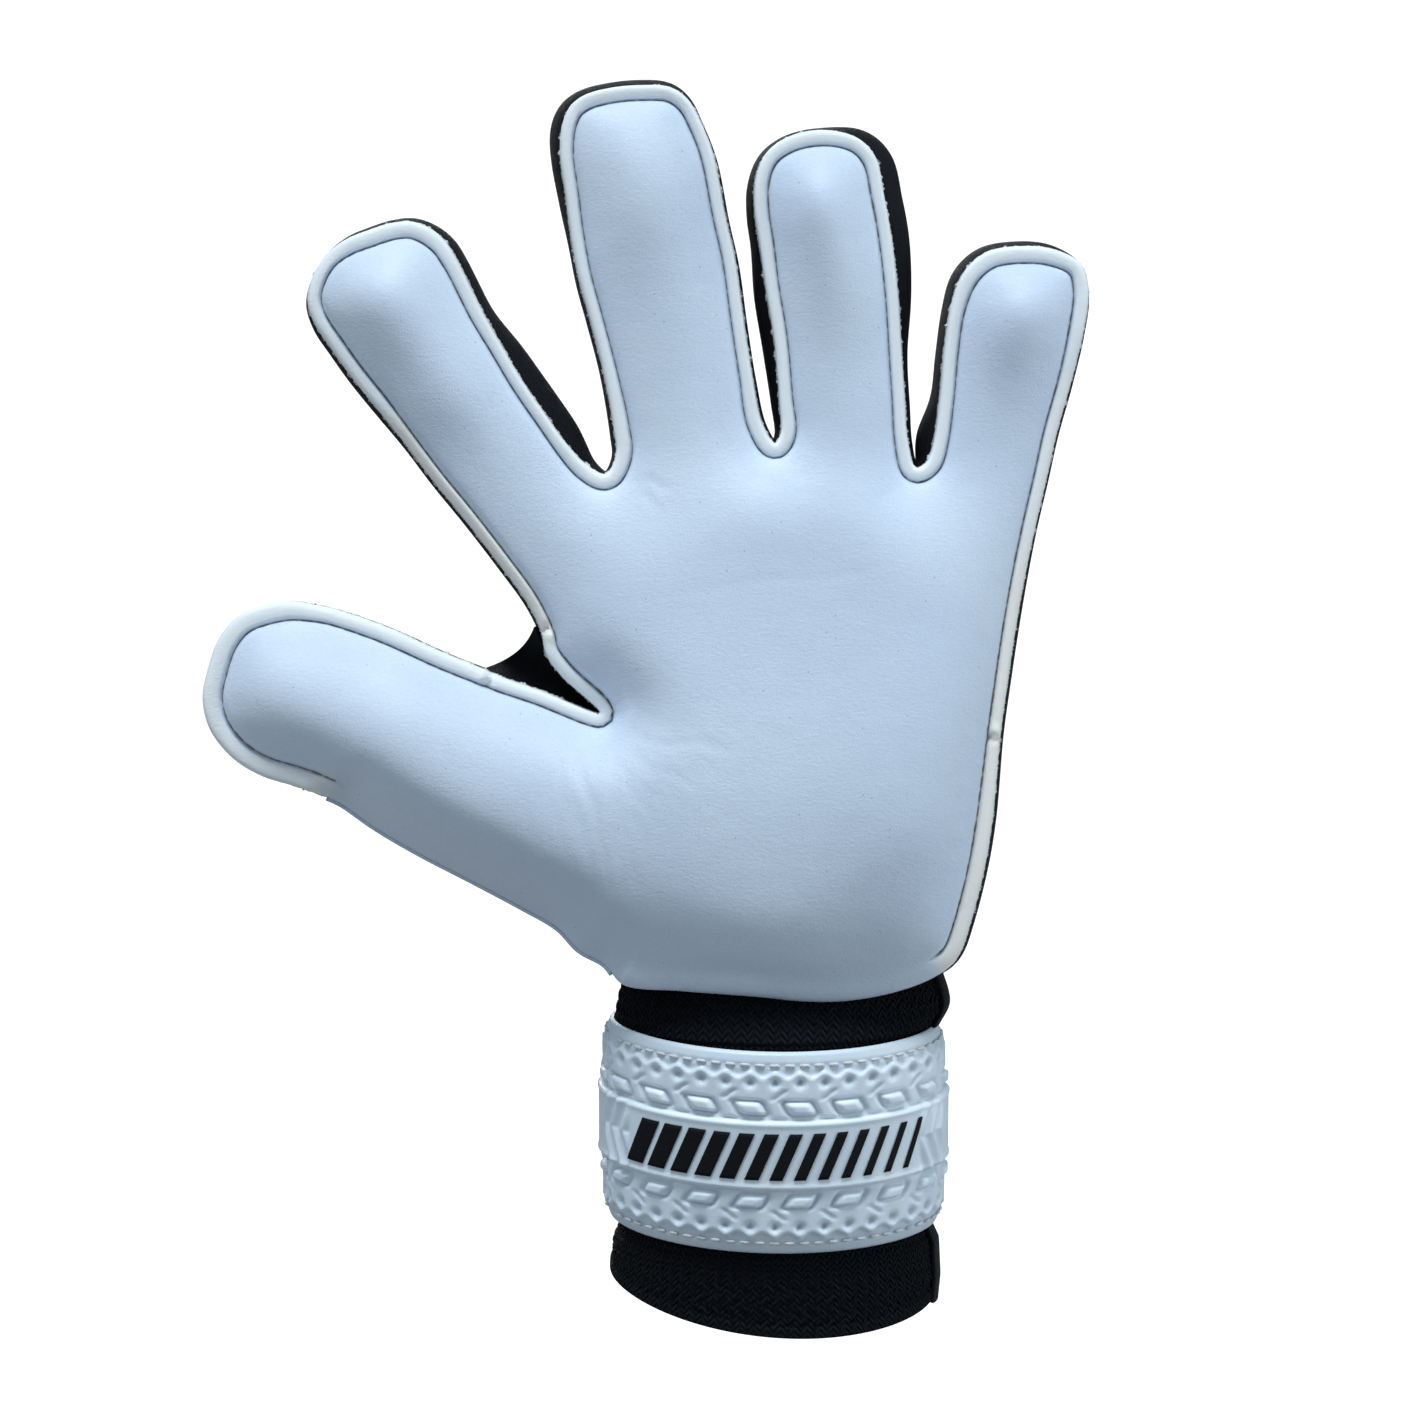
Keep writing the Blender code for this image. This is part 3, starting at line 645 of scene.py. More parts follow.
class Body:
    """A sheet's padded shape inside its stitches, worked out on a coarse mesh."""

    def __init__(self, shape, pressure, most):
        flat, faces = triangulate((SEAM,), BODY_GRID, SEAM + 1.2)
        distance, _ = OUTLINE.nearest(flat)
        held = distance < SEAM + 0.6
        heights = shape(flat, distance)
        blown = billow(flat, faces, held, pressure)
        heights += np.clip(blown, 0, most)
        self.heights = relaxed(heights, faces, ~held, 12)
        self.tree = kdtree.KDTree(len(flat))
        for i, (x, z) in enumerate(flat):
            self.tree.insert((x, z, 0), i)
        self.tree.balance()

    def at(self, points):
        """The height at (x, z) points, blended smoothly between the coarse mesh's points."""
        reach = 2.2 * BODY_GRID
        found = np.empty(len(points))
        for i, (x, z) in enumerate(points):
            near = self.tree.find_range((x, z, 0), reach)
            weights = np.array([(1 - (hit[2] / reach) ** 2) ** 3 for hit in near])
            values = self.heights[[hit[1] for hit in near]]
            found[i] = weights @ values / weights.sum() if len(near) else 0.0
        return found


# Materials ----------------------------------------------------------------------------------------


class Shader:
    """A Principled material and short ways to wire nodes to it."""

    def __init__(self, name, roughness):
        self.material = bpy.data.materials.new(name)
        self.material.use_nodes = True
        self.tree = self.material.node_tree
        self.surface = self.tree.nodes["Principled BSDF"]
        self.surface.inputs["Roughness"].default_value = roughness
        self.coords = self.node("ShaderNodeTexCoord").outputs["Object"]

    def node(self, kind, **settings):
        made = self.tree.nodes.new(kind)
        for key, value in settings.items():
            setattr(made, key, value)
        return made

    def put(self, value, socket):
        if hasattr(value, "links"):
            self.tree.links.new(value, socket)
        else:
            socket.default_value = value

    def math(self, operation, *values):
        made = self.node("ShaderNodeMath", operation=operation)
        for value, socket in zip(values, made.inputs):
            self.put(value, socket)
        return made.outputs[0]

    def noise(self, scale, detail=2.0, stretch=None):
        made = self.node("ShaderNodeTexNoise")
        made.inputs["Scale"].default_value = scale
        made.inputs["Detail"].default_value = detail
        source = self.coords
        if stretch:
            mapping = self.node("ShaderNodeMapping")
            mapping.inputs["Scale"].default_value = stretch
            self.put(source, mapping.inputs["Vector"])
            source = mapping.outputs[0]
        self.put(source, made.inputs["Vector"])
        return made.outputs["Fac"]

    def spots(self, scale, size):
        """1 inside small round spots at random places."""
        made = self.node("ShaderNodeTexVoronoi", feature="F1")
        made.inputs["Scale"].default_value = scale
        self.put(self.coords, made.inputs["Vector"])
        near = self.math("LESS_THAN", made.outputs["Distance"], size)
        chosen = self.node("ShaderNodeSeparateColor")
        self.put(made.outputs["Color"], chosen.inputs[0])
        return self.math("MULTIPLY", near, self.math("GREATER_THAN", chosen.outputs[0], 0.86))

    def span(self, value, low, high, to_low=0.0, to_high=1.0):
        made = self.node("ShaderNodeMapRange")
        for number, socket in zip((value, low, high, to_low, to_high), made.inputs):
            self.put(number, socket)
        return made.outputs[0]

    def mix(self, share, first, second):
        made = self.node("ShaderNodeMix", data_type="RGBA")
        self.put(share, made.inputs["Factor"])
        for value, socket in ((first, made.inputs["A"]), (second, made.inputs["B"])):
            self.put((*value, 1) if isinstance(value, tuple) else value, socket)
        return made.outputs["Result"]

    def attribute(self, name):
        return self.node("ShaderNodeAttribute", attribute_name=name).outputs["Fac"]

    def uv(self):
        parts = self.node("ShaderNodeSeparateXYZ")
        self.put(self.node("ShaderNodeUVMap", uv_map="weave").outputs[0], parts.inputs[0])
        return parts.outputs[0], parts.outputs[1]

    def bump(self, height, distance, normal=None):
        made = self.node("ShaderNodeBump")
        made.inputs["Distance"].default_value = distance
        self.put(height, made.inputs["Height"])
        if normal is not None:
            self.put(normal, made.inputs["Normal"])
        return made.outputs[0]

    def finish(self, colour, roughness=None, normal=None, sheen=0.0, shine=0.5):
        self.surface.inputs["Specular IOR Level"].default_value = shine
        self.put((*colour, 1) if isinstance(colour, tuple) else colour, self.surface.inputs["Base Color"])
        if roughness is not None:
            self.put(roughness, self.surface.inputs["Roughness"])
        if normal is not None:
            self.put(normal, self.surface.inputs["Normal"])
        self.surface.inputs["Sheen Weight"].default_value = sheen
        return self.material


LATEX = (0.60, 0.71, 0.87)
LATEX_PALE = (0.67, 0.78, 0.92)
# Painted light: a pale cream painted on the turned-back flanges, brighter than the latex though they face
# away from the lights.
TURNED_FLANGE_PAINTED_LIGHT = (0.93, 0.92, 0.88)
# The rim's paler tone: partly the cut foam's own neutral colour, partly a painted highlight that lifts the
# raised lip.
RIM_TONE_AND_PAINTED_HIGHLIGHT = (0.90, 0.94, 0.97)


def latex_material():
    """Soft white grip latex: fine pores, grey specks, a paler rim that is partly painted highlight, painted
    cream light on turned-back flanges and painted shade in the stitched groove.
    """
    look = Shader("palm_latex", 0.6)
    tone = look.mix(look.span(look.noise(26, 3), 0.35, 0.7), LATEX, LATEX_PALE)
    fine = look.noise(1400, 2, stretch=(1, 1, 2.4))
    tone = look.mix(look.span(fine, 0.35, 0.75, 0.0, 0.22), tone, (0.45, 0.54, 0.69))
    specks = look.math("MULTIPLY", look.spots(520, 0.1), 0.5)
    tone = look.mix(specks, tone, (0.22, 0.24, 0.28))
    # paler rim: partly the foam's own neutral colour, partly painted highlight on the raised lip
    tone = look.mix(look.math("MULTIPLY", look.attribute("rim"), 0.85), tone, RIM_TONE_AND_PAINTED_HIGHLIGHT)
    # painted light: the turned-back flanges are painted pale cream so they look lit, though they face away
    # from the lights
    tone = look.mix(look.math("MULTIPLY", look.attribute("turned"), 0.9), tone, TURNED_FLANGE_PAINTED_LIGHT)
    tone = look.mix(look.math("MULTIPLY", look.attribute("cut"), 0.8), tone, (0.72, 0.76, 0.80))
    # painted shade: a dark brownish line along the stitched groove, where its shadow falls
    tone = look.mix(look.math("MULTIPLY", look.attribute("groove"), 0.4), tone, (0.36, 0.33, 0.29))
    grain = look.bump(look.noise(2600, 3), 0.00007)
    normal = look.bump(look.noise(700, 2, stretch=(1, 1, 2.2)), 0.00007, normal=grain)
    rough = look.span(look.noise(90, 2), 0.3, 0.7, 0.5, 0.66)
    return look.finish(tone, rough, normal, sheen=0.12)


def mesh_material(name, sheen):
    """Black stretch textile with a fine rib, painted darker in the rib's hollows as painted shade."""
    look = Shader(name, 0.75)
    along, across = look.uv()
    rib = look.math("SINE", look.math("MULTIPLY", along, 2 * math.pi / 0.62))
    cross = look.math("SINE", look.math("MULTIPLY", across, 2 * math.pi / 0.8))
    weave = look.math("MULTIPLY", rib, cross)
    fuzz = look.noise(1800, 3)
    # painted shade: darker where the rib's height is low
    tone = look.mix(look.span(weave, -1, 1), (0.0008, 0.0013, 0.0030), (0.0040, 0.0065, 0.014))
    tone = look.mix(look.span(fuzz, 0.55, 0.8, 0, 0.5), tone, (0.030, 0.036, 0.050))
    normal = look.bump(weave, 0.00025, normal=look.bump(fuzz, 0.0002))
    return look.finish(tone, look.span(fuzz, 0.3, 0.7, 0.62, 0.85), normal, sheen, shine=0.12)


def knit_material():
    """Black rib knit in slanting stitches, with painted shade in the gaps between loops."""
    look = Shader("cuff_knit", 0.8)
    along, up = look.uv()
    wale = look.math("FRACT", look.math("DIVIDE", along, 2.3))
    fold = look.math("ABSOLUTE", look.math("SUBTRACT", wale, 0.5))
    slanted = look.math("ADD", look.math("DIVIDE", up, 1.35), look.math("MULTIPLY", fold, 2.2))
    loop = look.math("SINE", look.math("MULTIPLY", slanted, 2 * math.pi))
    column = look.math("SINE", look.math("MULTIPLY", wale, 2 * math.pi))
    height = look.math("ADD", loop, look.math("MULTIPLY", look.math("ABSOLUTE", column), 0.8))
    fuzz = look.noise(2200, 3)
    # painted shade: darker where the knit's height is low, in the gaps between loops
    tone = look.mix(look.span(height, -0.8, 1.8), (0.0006, 0.0010, 0.0022), (0.006, 0.0095, 0.018))
    tone = look.mix(look.span(fuzz, 0.58, 0.8, 0, 0.5), tone, (0.028, 0.034, 0.048))
    normal = look.bump(height, 0.0007, normal=look.bump(fuzz, 0.0003))
    return look.finish(tone, look.span(fuzz, 0.3, 0.7, 0.7, 0.92), normal, sheen=0.02, shine=0.1)


def moulded_material():
    """Satin soft plastic of the strap's cover, with painted shade in the hollows of its moulded pattern."""
    look = Shader("strap_cover", 0.4)
    tone = look.mix(look.span(look.noise(60, 3), 0.35, 0.7), (0.72, 0.84, 0.96), (0.80, 0.90, 0.98))
    # painted shade: darker where the moulded relief lies low
    tone = look.mix(look.span(look.attribute("low"), 0.0, 1.0, 0.0, 0.35), tone, (0.42, 0.50, 0.60))
    grain = look.noise(2400, 3)
    normal = look.bump(grain, 0.00006)
    return look.finish(tone, look.span(look.noise(200, 2), 0.3, 0.7, 0.34, 0.5), normal)


def back_material():
    """White embossed back panels, a little duller than the latex, with painted shade along the stitched
    groove.
    """
    look = Shader("back_panel", 0.55)
    tone = look.mix(look.span(look.noise(30, 3), 0.35, 0.7), (0.56, 0.62, 0.70), (0.66, 0.71, 0.78))
    # painted shade: darker grey along the stitched groove
    tone = look.mix(look.math("MULTIPLY", look.attribute("groove"), 0.7), tone, (0.30, 0.31, 0.33))
    normal = look.bump(look.noise(1500, 3), 0.00015)
    return look.finish(tone, look.span(look.noise(120, 2), 0.3, 0.7, 0.45, 0.62), normal, sheen=0.1)


def thread_material(name, colour, sheen=0.1, shine=0.2):
    """Twisted fibres in one colour."""
    look = Shader(name, 0.7)
    twist = look.noise(3200, 1)
    tone = look.mix(twist, tuple(0.7 * c for c in colour), colour)
    return look.finish(tone, None, look.bump(twist, 0.0002), sheen, shine)


LATEX_LOOK = latex_material()
BACK_LOOK = back_material()
MESH_LOOK = mesh_material("gusset_textile", 0.04)
WEB_LOOK = mesh_material("web_textile", 0.02)
KNIT_LOOK = knit_material()
COVER_LOOK = moulded_material()
RIM_THREAD = thread_material("rim_thread", (0.30, 0.27, 0.23))
WHITE_THREAD = thread_material("white_thread", (0.80, 0.84, 0.88))
FIBRE_LOOK = thread_material("cut_fibre", (0.82, 0.86, 0.90))
PRINT_LOOK = thread_material("black_print", (0.003, 0.004, 0.007), 0.0)
TAPE_LOOK = mesh_material("satin_tape", 0.1)
LINING_LOOK = thread_material("lining_cloth", (0.70, 0.70, 0.68))
PATCH_LOOK = thread_material("closure_patch", (0.010, 0.010, 0.012), 0.02)
ELASTIC_LOOK = thread_material("elastic_band", (0.72, 0.76, 0.80))


# The palm sheet and the back ------------------------------------------------------------------------


def hand_back(z):
    """How far out the glove's back lies: level on the fingers, rising towards the wrist."""
    return np.interp(z, (WRIST_Z, KNUCKLES_Z), (HAND_BACK_Y, FINGER_BACK_Y))


def palm_front(points, distance, index):
    """The depth of the palm sheet's front face, with a slit and a lifted end where rims meet."""
    rim, drop = OUTLINE.rim[index], OUTLINE.drop[index]
    relief = edge_relief(distance, rim, drop, PALM_BODY.at(points)) + palm_wrinkles(points, distance)
    for join in RIM_JOINS:
        along = ((points - join) * OUTLINE.tangent[index]).sum(1)
        near = (np.hypot(*(points - join).T) < 6) & (distance < SEAM - 0.2)
        relief -= near * (1.1 * np.exp(-((along / 0.45) ** 2)) - 0.5 * np.exp(-(((along - 1.6) / 1.0) ** 2)))
    return PALM_Y - relief


def back_mounds(_points, distance):
    """How far the back stands out from its edges, apart from its embossing."""
    return (BACK_CROWN - SHOULDER) * smooth(SEAM, SEAM + 8, distance)


PALM_BODY = Body(palm_mounds, 4.0, 3.0)
BACK_BODY = Body(back_mounds, 2.0, 1.5)


def build_palm():
    """The one sheet of latex foam over palm, fingers and thumb."""
    flat, faces = triangulate(RINGS, GRID, RINGS[-1] + 0.7)
    distance, index = OUTLINE.nearest(flat)
    distance = np.maximum(distance, 0)
    rim, drop = OUTLINE.rim[index], OUTLINE.drop[index]
    front = palm_front(flat, distance, index)
    turned_back = drop * (1 - np.clip(distance / np.maximum(SEAM, drop), 0, 1)) ** 1.3
    inner = np.maximum(PALM_Y + FOAM + turned_back, front + 1.2)
    verts, faces, cut = closed_sheet(flat, faces, front, inner, -1)
    pad = np.zeros(len(verts) - len(flat))
    # the turned-back flange, which the latex material paints with cream painted light
    turned = rim**2 * smooth(0.7, 1.4, drop) * (drop < 4) * (1 - smooth(SEAM - 0.6, SEAM + 0.1, distance))
    # the stitched groove, which the latex material darkens as painted shade
    groove = rim * np.exp(-(((distance - SEAM) / 0.25) ** 2))
    floats = {
        "cut": cut, "turned": np.concatenate((turned, pad)), "groove": np.concatenate((groove, pad)),
        # the rim's flange, for its paler tone that is partly painted highlight
        "rim": np.concatenate((rim * (1 - smooth(SEAM - 0.9, SEAM - 0.3, distance)), pad)),
    }
    region = region_of(verts[faces][:, :, (0, 2)].mean(1))
    return split_by_region("palm_sheet", verts, faces, region, LATEX_LOOK, floats)


BAR_HEIGHT, BAR_PITCH = 0.9, 8.0
CHEVRON_HEIGHT, CHEVRON_PITCH = 1.3, 15.0


def bars_along(v):
    """Bars across a finger, 1 on a bar and 0 between them."""
    return smooth(-0.1, 0.5, np.sin(2 * math.pi * v / BAR_PITCH))


def back_relief(points, distance):
    """Embossed bars on the finger backs, and chevrons on the back of the hand."""
    height = np.zeros(len(points))
    for place in FINGER_PLACES.values():
        v, u, over = place.place(points)
        inside = (over > 4) * (1 - smooth(5.5, 7.5, np.abs(u))) * (np.abs(u) < 12)
        height += BAR_HEIGHT * inside * bars_along(v + u * u / 70)
    v, _ = THUMB.place(points)
    across = (points - THUMB.joint) @ np.array((THUMB.along[1], -THUMB.along[0]))
    on_thumb = (points[:, 0] < THUMB.base[0] - 6) * (1 - smooth(5.5, 8.0, np.abs(across)))
    height += BAR_HEIGHT * on_thumb * bars_along(v) * (points[:, 1] < 147)
    x, z = points[:, 0] - 1, points[:, 1]
    in_panel = (1 - smooth(26, 29, np.abs(x))) * smooth(84, 87, z) * (1 - smooth(163, 166, z))
    chevron = np.sin(2 * math.pi * (z + 0.45 * np.abs(x)) / CHEVRON_PITCH)
    height += CHEVRON_HEIGHT * in_panel * smooth(-0.35, 0.35, chevron)
    return height * smooth(5.0, 7.0, distance)


def build_back():
    """The back sheet, with the same outline as the palm's."""
    flat, faces = triangulate(BACK_RINGS, BACK_GRID, BACK_RINGS[-1] + 1.0)
    distance, index = OUTLINE.nearest(flat)
    distance = np.maximum(distance, 0)
    rim = np.minimum(OUTLINE.rim[index] + (OUTLINE.drop[index] > 8), 1)
    relief = edge_relief(distance, rim, np.full(len(flat), 1.2), BACK_BODY.at(flat))
    outer = hand_back(flat[:, 1]) - BACK_CROWN + relief + back_relief(flat, distance)
    inner = np.minimum(hand_back(flat[:, 1]) - BACK_CROWN - 2.2, outer - 1.0)
    verts, faces, cut = closed_sheet(flat, faces, outer, inner, 1)
    # the stitched groove, darkened in the back material as painted shade
    groove = rim * np.exp(-(((distance - SEAM) / 0.4) ** 2))
    floats = {"cut": cut, "groove": np.concatenate((groove, np.zeros(len(verts) - len(flat))))}
    region = region_of(verts[faces][:, :, (0, 2)].mean(1))
    return split_by_region("back_sheet", verts, faces, region, BACK_LOOK, floats)


# Walls between the two sheets -----------------------------------------------------------------------


def twice(values):
    """Values of a grid's points, for its outer and its inner side."""
    return np.concatenate((values, values))


def closed_grid(outer, inner):
    """A closed solid between two grids of points (along, across, xyz)."""
    count = outer.shape[0] * outer.shape[1]
    index = np.arange(count).reshape(outer.shape[:2])
    shown = np.stack((index[:-1, :-1], index[1:, :-1], index[1:, 1:], index[:-1, 1:]), -1).reshape(-1, 4)
    edges = []
    for line in (index[0, ::-1], index[-1], index[:, 0], index[::-1, -1]):
        near, far = line[:-1], line[1:]
        edges.append(np.stack((far, near, near + count, far + count), -1))
    verts = np.concatenate((outer.reshape(-1, 3), inner.reshape(-1, 3)))
    return verts, np.concatenate((shown, shown[:, ::-1] + count, *edges))


def strip(rows, thickness):
    """A closed strip from a grid of points, thickened away from its outer side."""
    normal = np.cross(np.gradient(rows, axis=0), np.gradient(rows, axis=1))
    normal /= np.maximum(np.linalg.norm(normal, axis=2), 1e-9)[:, :, None]
    return closed_grid(rows, rows - normal * thickness)


def runs_where(mask):
    """Stretches of a closed ring of samples for which mask holds, as index arrays."""
    count = len(mask)
    if mask.all():
        return [np.arange(count + 1) % count]
    start = int(np.argmin(mask))
    runs, current = [], []
    for i in (np.arange(start, start + count + 1) % count):
        if mask[i]:
            current.append(i)
        elif current:
            runs.append(np.array(current))
            current = []
    return [run for run in runs if len(run) > 6]


def room_outside(reach):
    """reach, cut back where the opposite side of a crotch is near."""
    reach = reach.copy()
    for _ in range(5):
        away, _ = OUTLINE.nearest(OUTLINE.points - OUTLINE.inward * reach[:, None])
        reach = np.where((reach > 0.2) & (-away < 0.9 * reach), reach * 0.7, reach)
    return rolling_mean(reach[:, None], 8)[:, 0]


def wall_rows(samples, kind, bulge):
    """Sections of a wall from the palm sheet to the back, at outline samples."""
    points, inward = OUTLINE.points[samples], OUTLINE.inward[samples]
    drop = OUTLINE.drop[samples]
    back = hand_back(points[:, 1]) - BACK_CROWN - 0.6
    share = np.linspace(0, 1, WALL_SECTIONS)
    if kind == "gusset":
        front = np.full(len(samples), PALM_Y + FOAM - 0.4)
        turn_y = front + drop * 0.85
        inset = OUTLINE.width[samples] - 0.6
        out = np.sin(np.pi * share) ** 0.75
        offset = -inset[:, None] + (inset + bulge[samples])[:, None] * out
        y = turn_y[:, None] + (back - turn_y)[:, None] * share
        y[:, 0] = front
    else:
        front = PALM_Y + drop - 0.5
        offset = -0.2 + (0.2 * np.sin(np.pi * share) - 3.4 * share**3)[None, :] + np.zeros((len(samples), 1))
        y = front[:, None] + (back - front)[:, None] * share
    flat = points[:, None, :] - inward[:, None, :] * offset[:, :, None]
    return np.stack((flat[:, :, 0], y, flat[:, :, 1]), 2)


def build_walls():
    """The black gussets along the sewn rim, and the foam wrapped round the thumb's lower side."""
    rim, drop = OUTLINE.rim, OUTLINE.drop
    bulge = room_outside(OUTLINE.bulge)
    thinned = np.arange(len(rim)) % WALL_STEP == 0
    kinds = (
        ("gusset", rim > 0.45, MESH_LOOK, "black_mesh_cloth"),
        ("wrap", (rim <= 0.45) & (drop > 7), LATEX_LOOK, "white_latex_foam"),
    )
    made = {}
    for kind, mask, look, slot_name in kinds:
        for number, run in enumerate(runs_where(mask)):
            samples = run[thinned[run]]
            rows = wall_rows(samples, kind, bulge)
            verts, faces = strip(rows, WALL)
            lengths = np.concatenate(([0], np.cumsum(np.linalg.norm(np.diff(rows[:, 4], axis=0), axis=1))))
            across = np.concatenate((
                np.zeros((len(samples), 1)), np.cumsum(np.linalg.norm(np.diff(rows, axis=1), axis=2), axis=1)
            ), axis=1)
            uvs = np.stack((np.broadcast_to(lengths[:, None], across.shape), across), 2).reshape(-1, 2)
            base = OUTLINE.points[samples] + OUTLINE.inward[samples] * 1.5
            owner = twice(np.repeat(region_of(base), WALL_SECTIONS))
            made |= split_by_region(
                f"{kind}_{number}" if number else kind, verts, faces, owner[faces[:, 0]], look,
                uvs=twice(uvs),
            )
    return made


def build_fringe():
    """The ragged white fibres along the cut edge of the palm sheet."""
    rng = np.random.default_rng(5)
    mask = OUTLINE.rim > 0.5
    for number, samples in enumerate(runs_where(mask)):
        points, inward = OUTLINE.points[samples], OUTLINE.inward[samples]
        depth = PALM_Y + FOAM * 0.72 + OUTLINE.drop[samples]
        clumps = np.array([noise.noise((i * 0.17, number, 2.0)) for i in range(len(samples))])
        ragged = smooth(-108, -98, points[:, 0]) * np.clip(0.35 + 0.9 * clumps, 0.08, 1)
        reach = 0.12 + 0.75 * ragged * rng.random(len(samples))
        shift = (rng.random(len(samples)) - 0.5) * 0.5
        section = []
        for out, y in ((-0.8, -0.5), (reach, shift), (-0.8, 0.5)):
            flat = points - inward * (np.zeros(len(samples)) + out)[:, None]
            section.append(np.stack((flat[:, 0], depth + y, flat[:, 1]), 1))
        rows = np.stack(section, 1)
        verts = rows.reshape(-1, 3)
        index = np.arange(len(verts)).reshape(-1, 3)
        faces = []
        for a, b in ((0, 1), (1, 2), (2, 0)):
            faces.append(np.stack((index[:-1, a], index[1:, a], index[1:, b], index[:-1, b]), -1))
        faces = np.concatenate(faces)
        owner = np.repeat(region_of(points + inward * 1.5), 3)
        split_by_region(
            f"cut_fibre_{number}" if number else "cut_fibre", verts, faces, owner[faces[:, 0]],
            FIBRE_LOOK,
        )


# Stitches -------------------------------------------------------------------------------------------


def thread(starts, ends, normals, radius):
    """Short rounded thread segments between pairs of points, one solid each."""
    steps = ((0, 0.15), (0.08, 0.75), (0.25, 1), (0.75, 1), (0.92, 0.75), (1, 0.15))
    sides = 6
    along = ends - starts
    direction = along / np.linalg.norm(along, axis=1)[:, None]
    side = np.cross(direction, normals)
    side /= np.linalg.norm(side, axis=1)[:, None]
    up = np.cross(side, direction)
    rings = []
    for share, size in steps:
        centre = starts + along * share + up * 0.5 * radius * math.sin(math.pi * share)
        for k in range(sides):
            turn = 2 * math.pi * k / sides
            rings.append(centre + radius * size * (math.cos(turn) * side + math.sin(turn) * up))
    verts = np.stack(rings, 1)
    per = len(steps) * sides
    pattern = []
    for r in range(len(steps) - 1):
        for k in range(sides):
            a, b = r * sides + k, r * sides + (k + 1) % sides
            pattern.append((a, b, b + sides, a + sides))
    caps = [tuple(range(sides))[::-1], tuple(range(per - sides, per))]
    for cap in caps:
        pattern += [(cap[0], cap[1], cap[2], cap[3]), (cap[0], cap[3], cap[4], cap[5])]
    pattern = np.array(pattern)
    faces = (pattern[None] + (np.arange(len(starts)) * per)[:, None, None]).reshape(-1, 4)
    return verts.reshape(-1, 3), faces, per


def build_rim_stitches():
    """The dark thread in the groove round the palm sheet."""
    points, edges = ring_points(SEAM, RIM_STITCH)
    pairs = np.array([(points[a], points[b]) for a, b in edges])
    middle = pairs.mean(1)
    _, index = OUTLINE.nearest(middle)
    pairs, middle, index = (a[OUTLINE.rim[index] > 0.5] for a in (pairs, middle, index))
    ends = []
    for share in (0.1, 0.9):
        spot = pairs[:, 0] * (1 - share) + pairs[:, 1] * share
        depth = palm_front(spot, np.full(len(spot), SEAM), index) - 0.1
        ends.append(np.stack((spot[:, 0], depth, spot[:, 1]), 1))
    normals = np.tile((0.0, -1.0, 0.0), (len(middle), 1))
    verts, faces, per = thread(*ends, normals, 0.19)
    owner = np.repeat(region_of(middle), per)
    split_by_region("rim_stitch", verts, faces, owner[faces[:, 0]], RIM_THREAD)


# The web between thumb and index finger ---------------------------------------------------------------


def build_web():
    """A thin black saddle from the index side to the thumb's upper edge."""
    index_side = ((-38.5, 127.0), (-45.5, 133.5), (-48.5, 137.5), (-50.5, 141.0), (-52.0, 144.5))
    thumb_side = ((-39.0, 125.8), (-48.0, 129.2), (-54.0, 131.0), (-59.0, 133.0), (-64.0, 135.2))
    free_edge = ((-38.8, 126.6), (-47.0, 131.4), (-51.0, 134.4), (-53.5, 136.6), (-55.0, 138.2))
    share = np.linspace(0, 1, 25)
    knots = np.linspace(0, 1, len(index_side))
    rows = []
    for t in np.linspace(0, 1, 33):
        weights = ((1 - t) ** 2, 2 * t * (1 - t), t * t)
        corner = [
            w * np.stack([np.interp(share, knots, np.array(side)[:, k]) for k in range(2)], 1)
            for w, side in zip(weights, (index_side, free_edge, thumb_side))
        ]
        flat = sum(corner)
        y = -11.5 + 10.5 * math.sin(math.pi * t) * share**0.7 + 1.5 * share
        rows.append(np.stack((flat[:, 0], y, flat[:, 1]), 1))
    rows = np.array(rows)
    verts, faces = strip(rows[:, ::-1], 0.9)
    uvs = np.stack(np.meshgrid(np.arange(25) * 1.2, np.arange(33) * 0.6), 2).reshape(-1, 2)
    piece = make_piece(
        "web_panel", verts, faces, WEB_LOOK, normals=vertex_normals(verts, faces), uvs=twice(uvs),
    )
    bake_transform(piece)
    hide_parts("thumb_web")


# Wrist ----------------------------------------------------------------------------------------------


def from_cuff(points):
    """Points in the tilted wrist frame, whose z is 0 at the flex line, in the hand's frame."""
    x, y, w = points[..., 0], points[..., 1], points[..., 2]
    c, s = math.cos(TILT), math.sin(TILT)
    return np.stack((x, y * c - w * s, y * s + w * c + WRIST_Z), -1)


def oval(turn, offset, half):
    """A point of the wrist's oval at an angle in degrees from +x, moved outwards."""
    turn = np.radians(turn)
    c, s = np.cos(turn), np.sin(turn)
    length = np.hypot(half[1] * c, half[0] * s)
    return half[0] * c + offset * half[1] * c / length, half[1] * s + offset * half[0] * s / length


def cuff_half(w):
    """The cuff's half width and half depth, at a height in the wrist's frame."""
    heights = (-75, -64, -56, -52, -49, -12, -9.2, -7.2, -5, 0, 7)
    widths = (34.6, 35.6, 35.2, 33.4, 32.2, 32.2, 33.0, 34.6, 34.4, 33.4, 31.0)
    depths = (24.2, 24.2, 23.6, 22.4, 21.6, 21.4, 21.7, 21.8, 19.5, 14.2, 11.5)
    return np.interp(w, heights, widths), np.interp(w, heights, depths)


def cuff_points(turn, offset, w):
    """Points on the cuff, which flares on the little-finger side to meet the palm's corner."""
    x, y = oval(turn, offset, cuff_half(w))
    flare = 3.4 * smooth(-9, -2, w) * np.maximum(np.cos(np.radians(turn)), 0) ** 2
    return from_cuff(np.stack(np.broadcast_arrays(x + flare, y, w), -1))


def bind_wrist(piece, node):
    """Bake a piece of the cuff's place into its mesh, and let it stand for its CAD node, which is hidden."""
    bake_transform(piece)
    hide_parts(node)


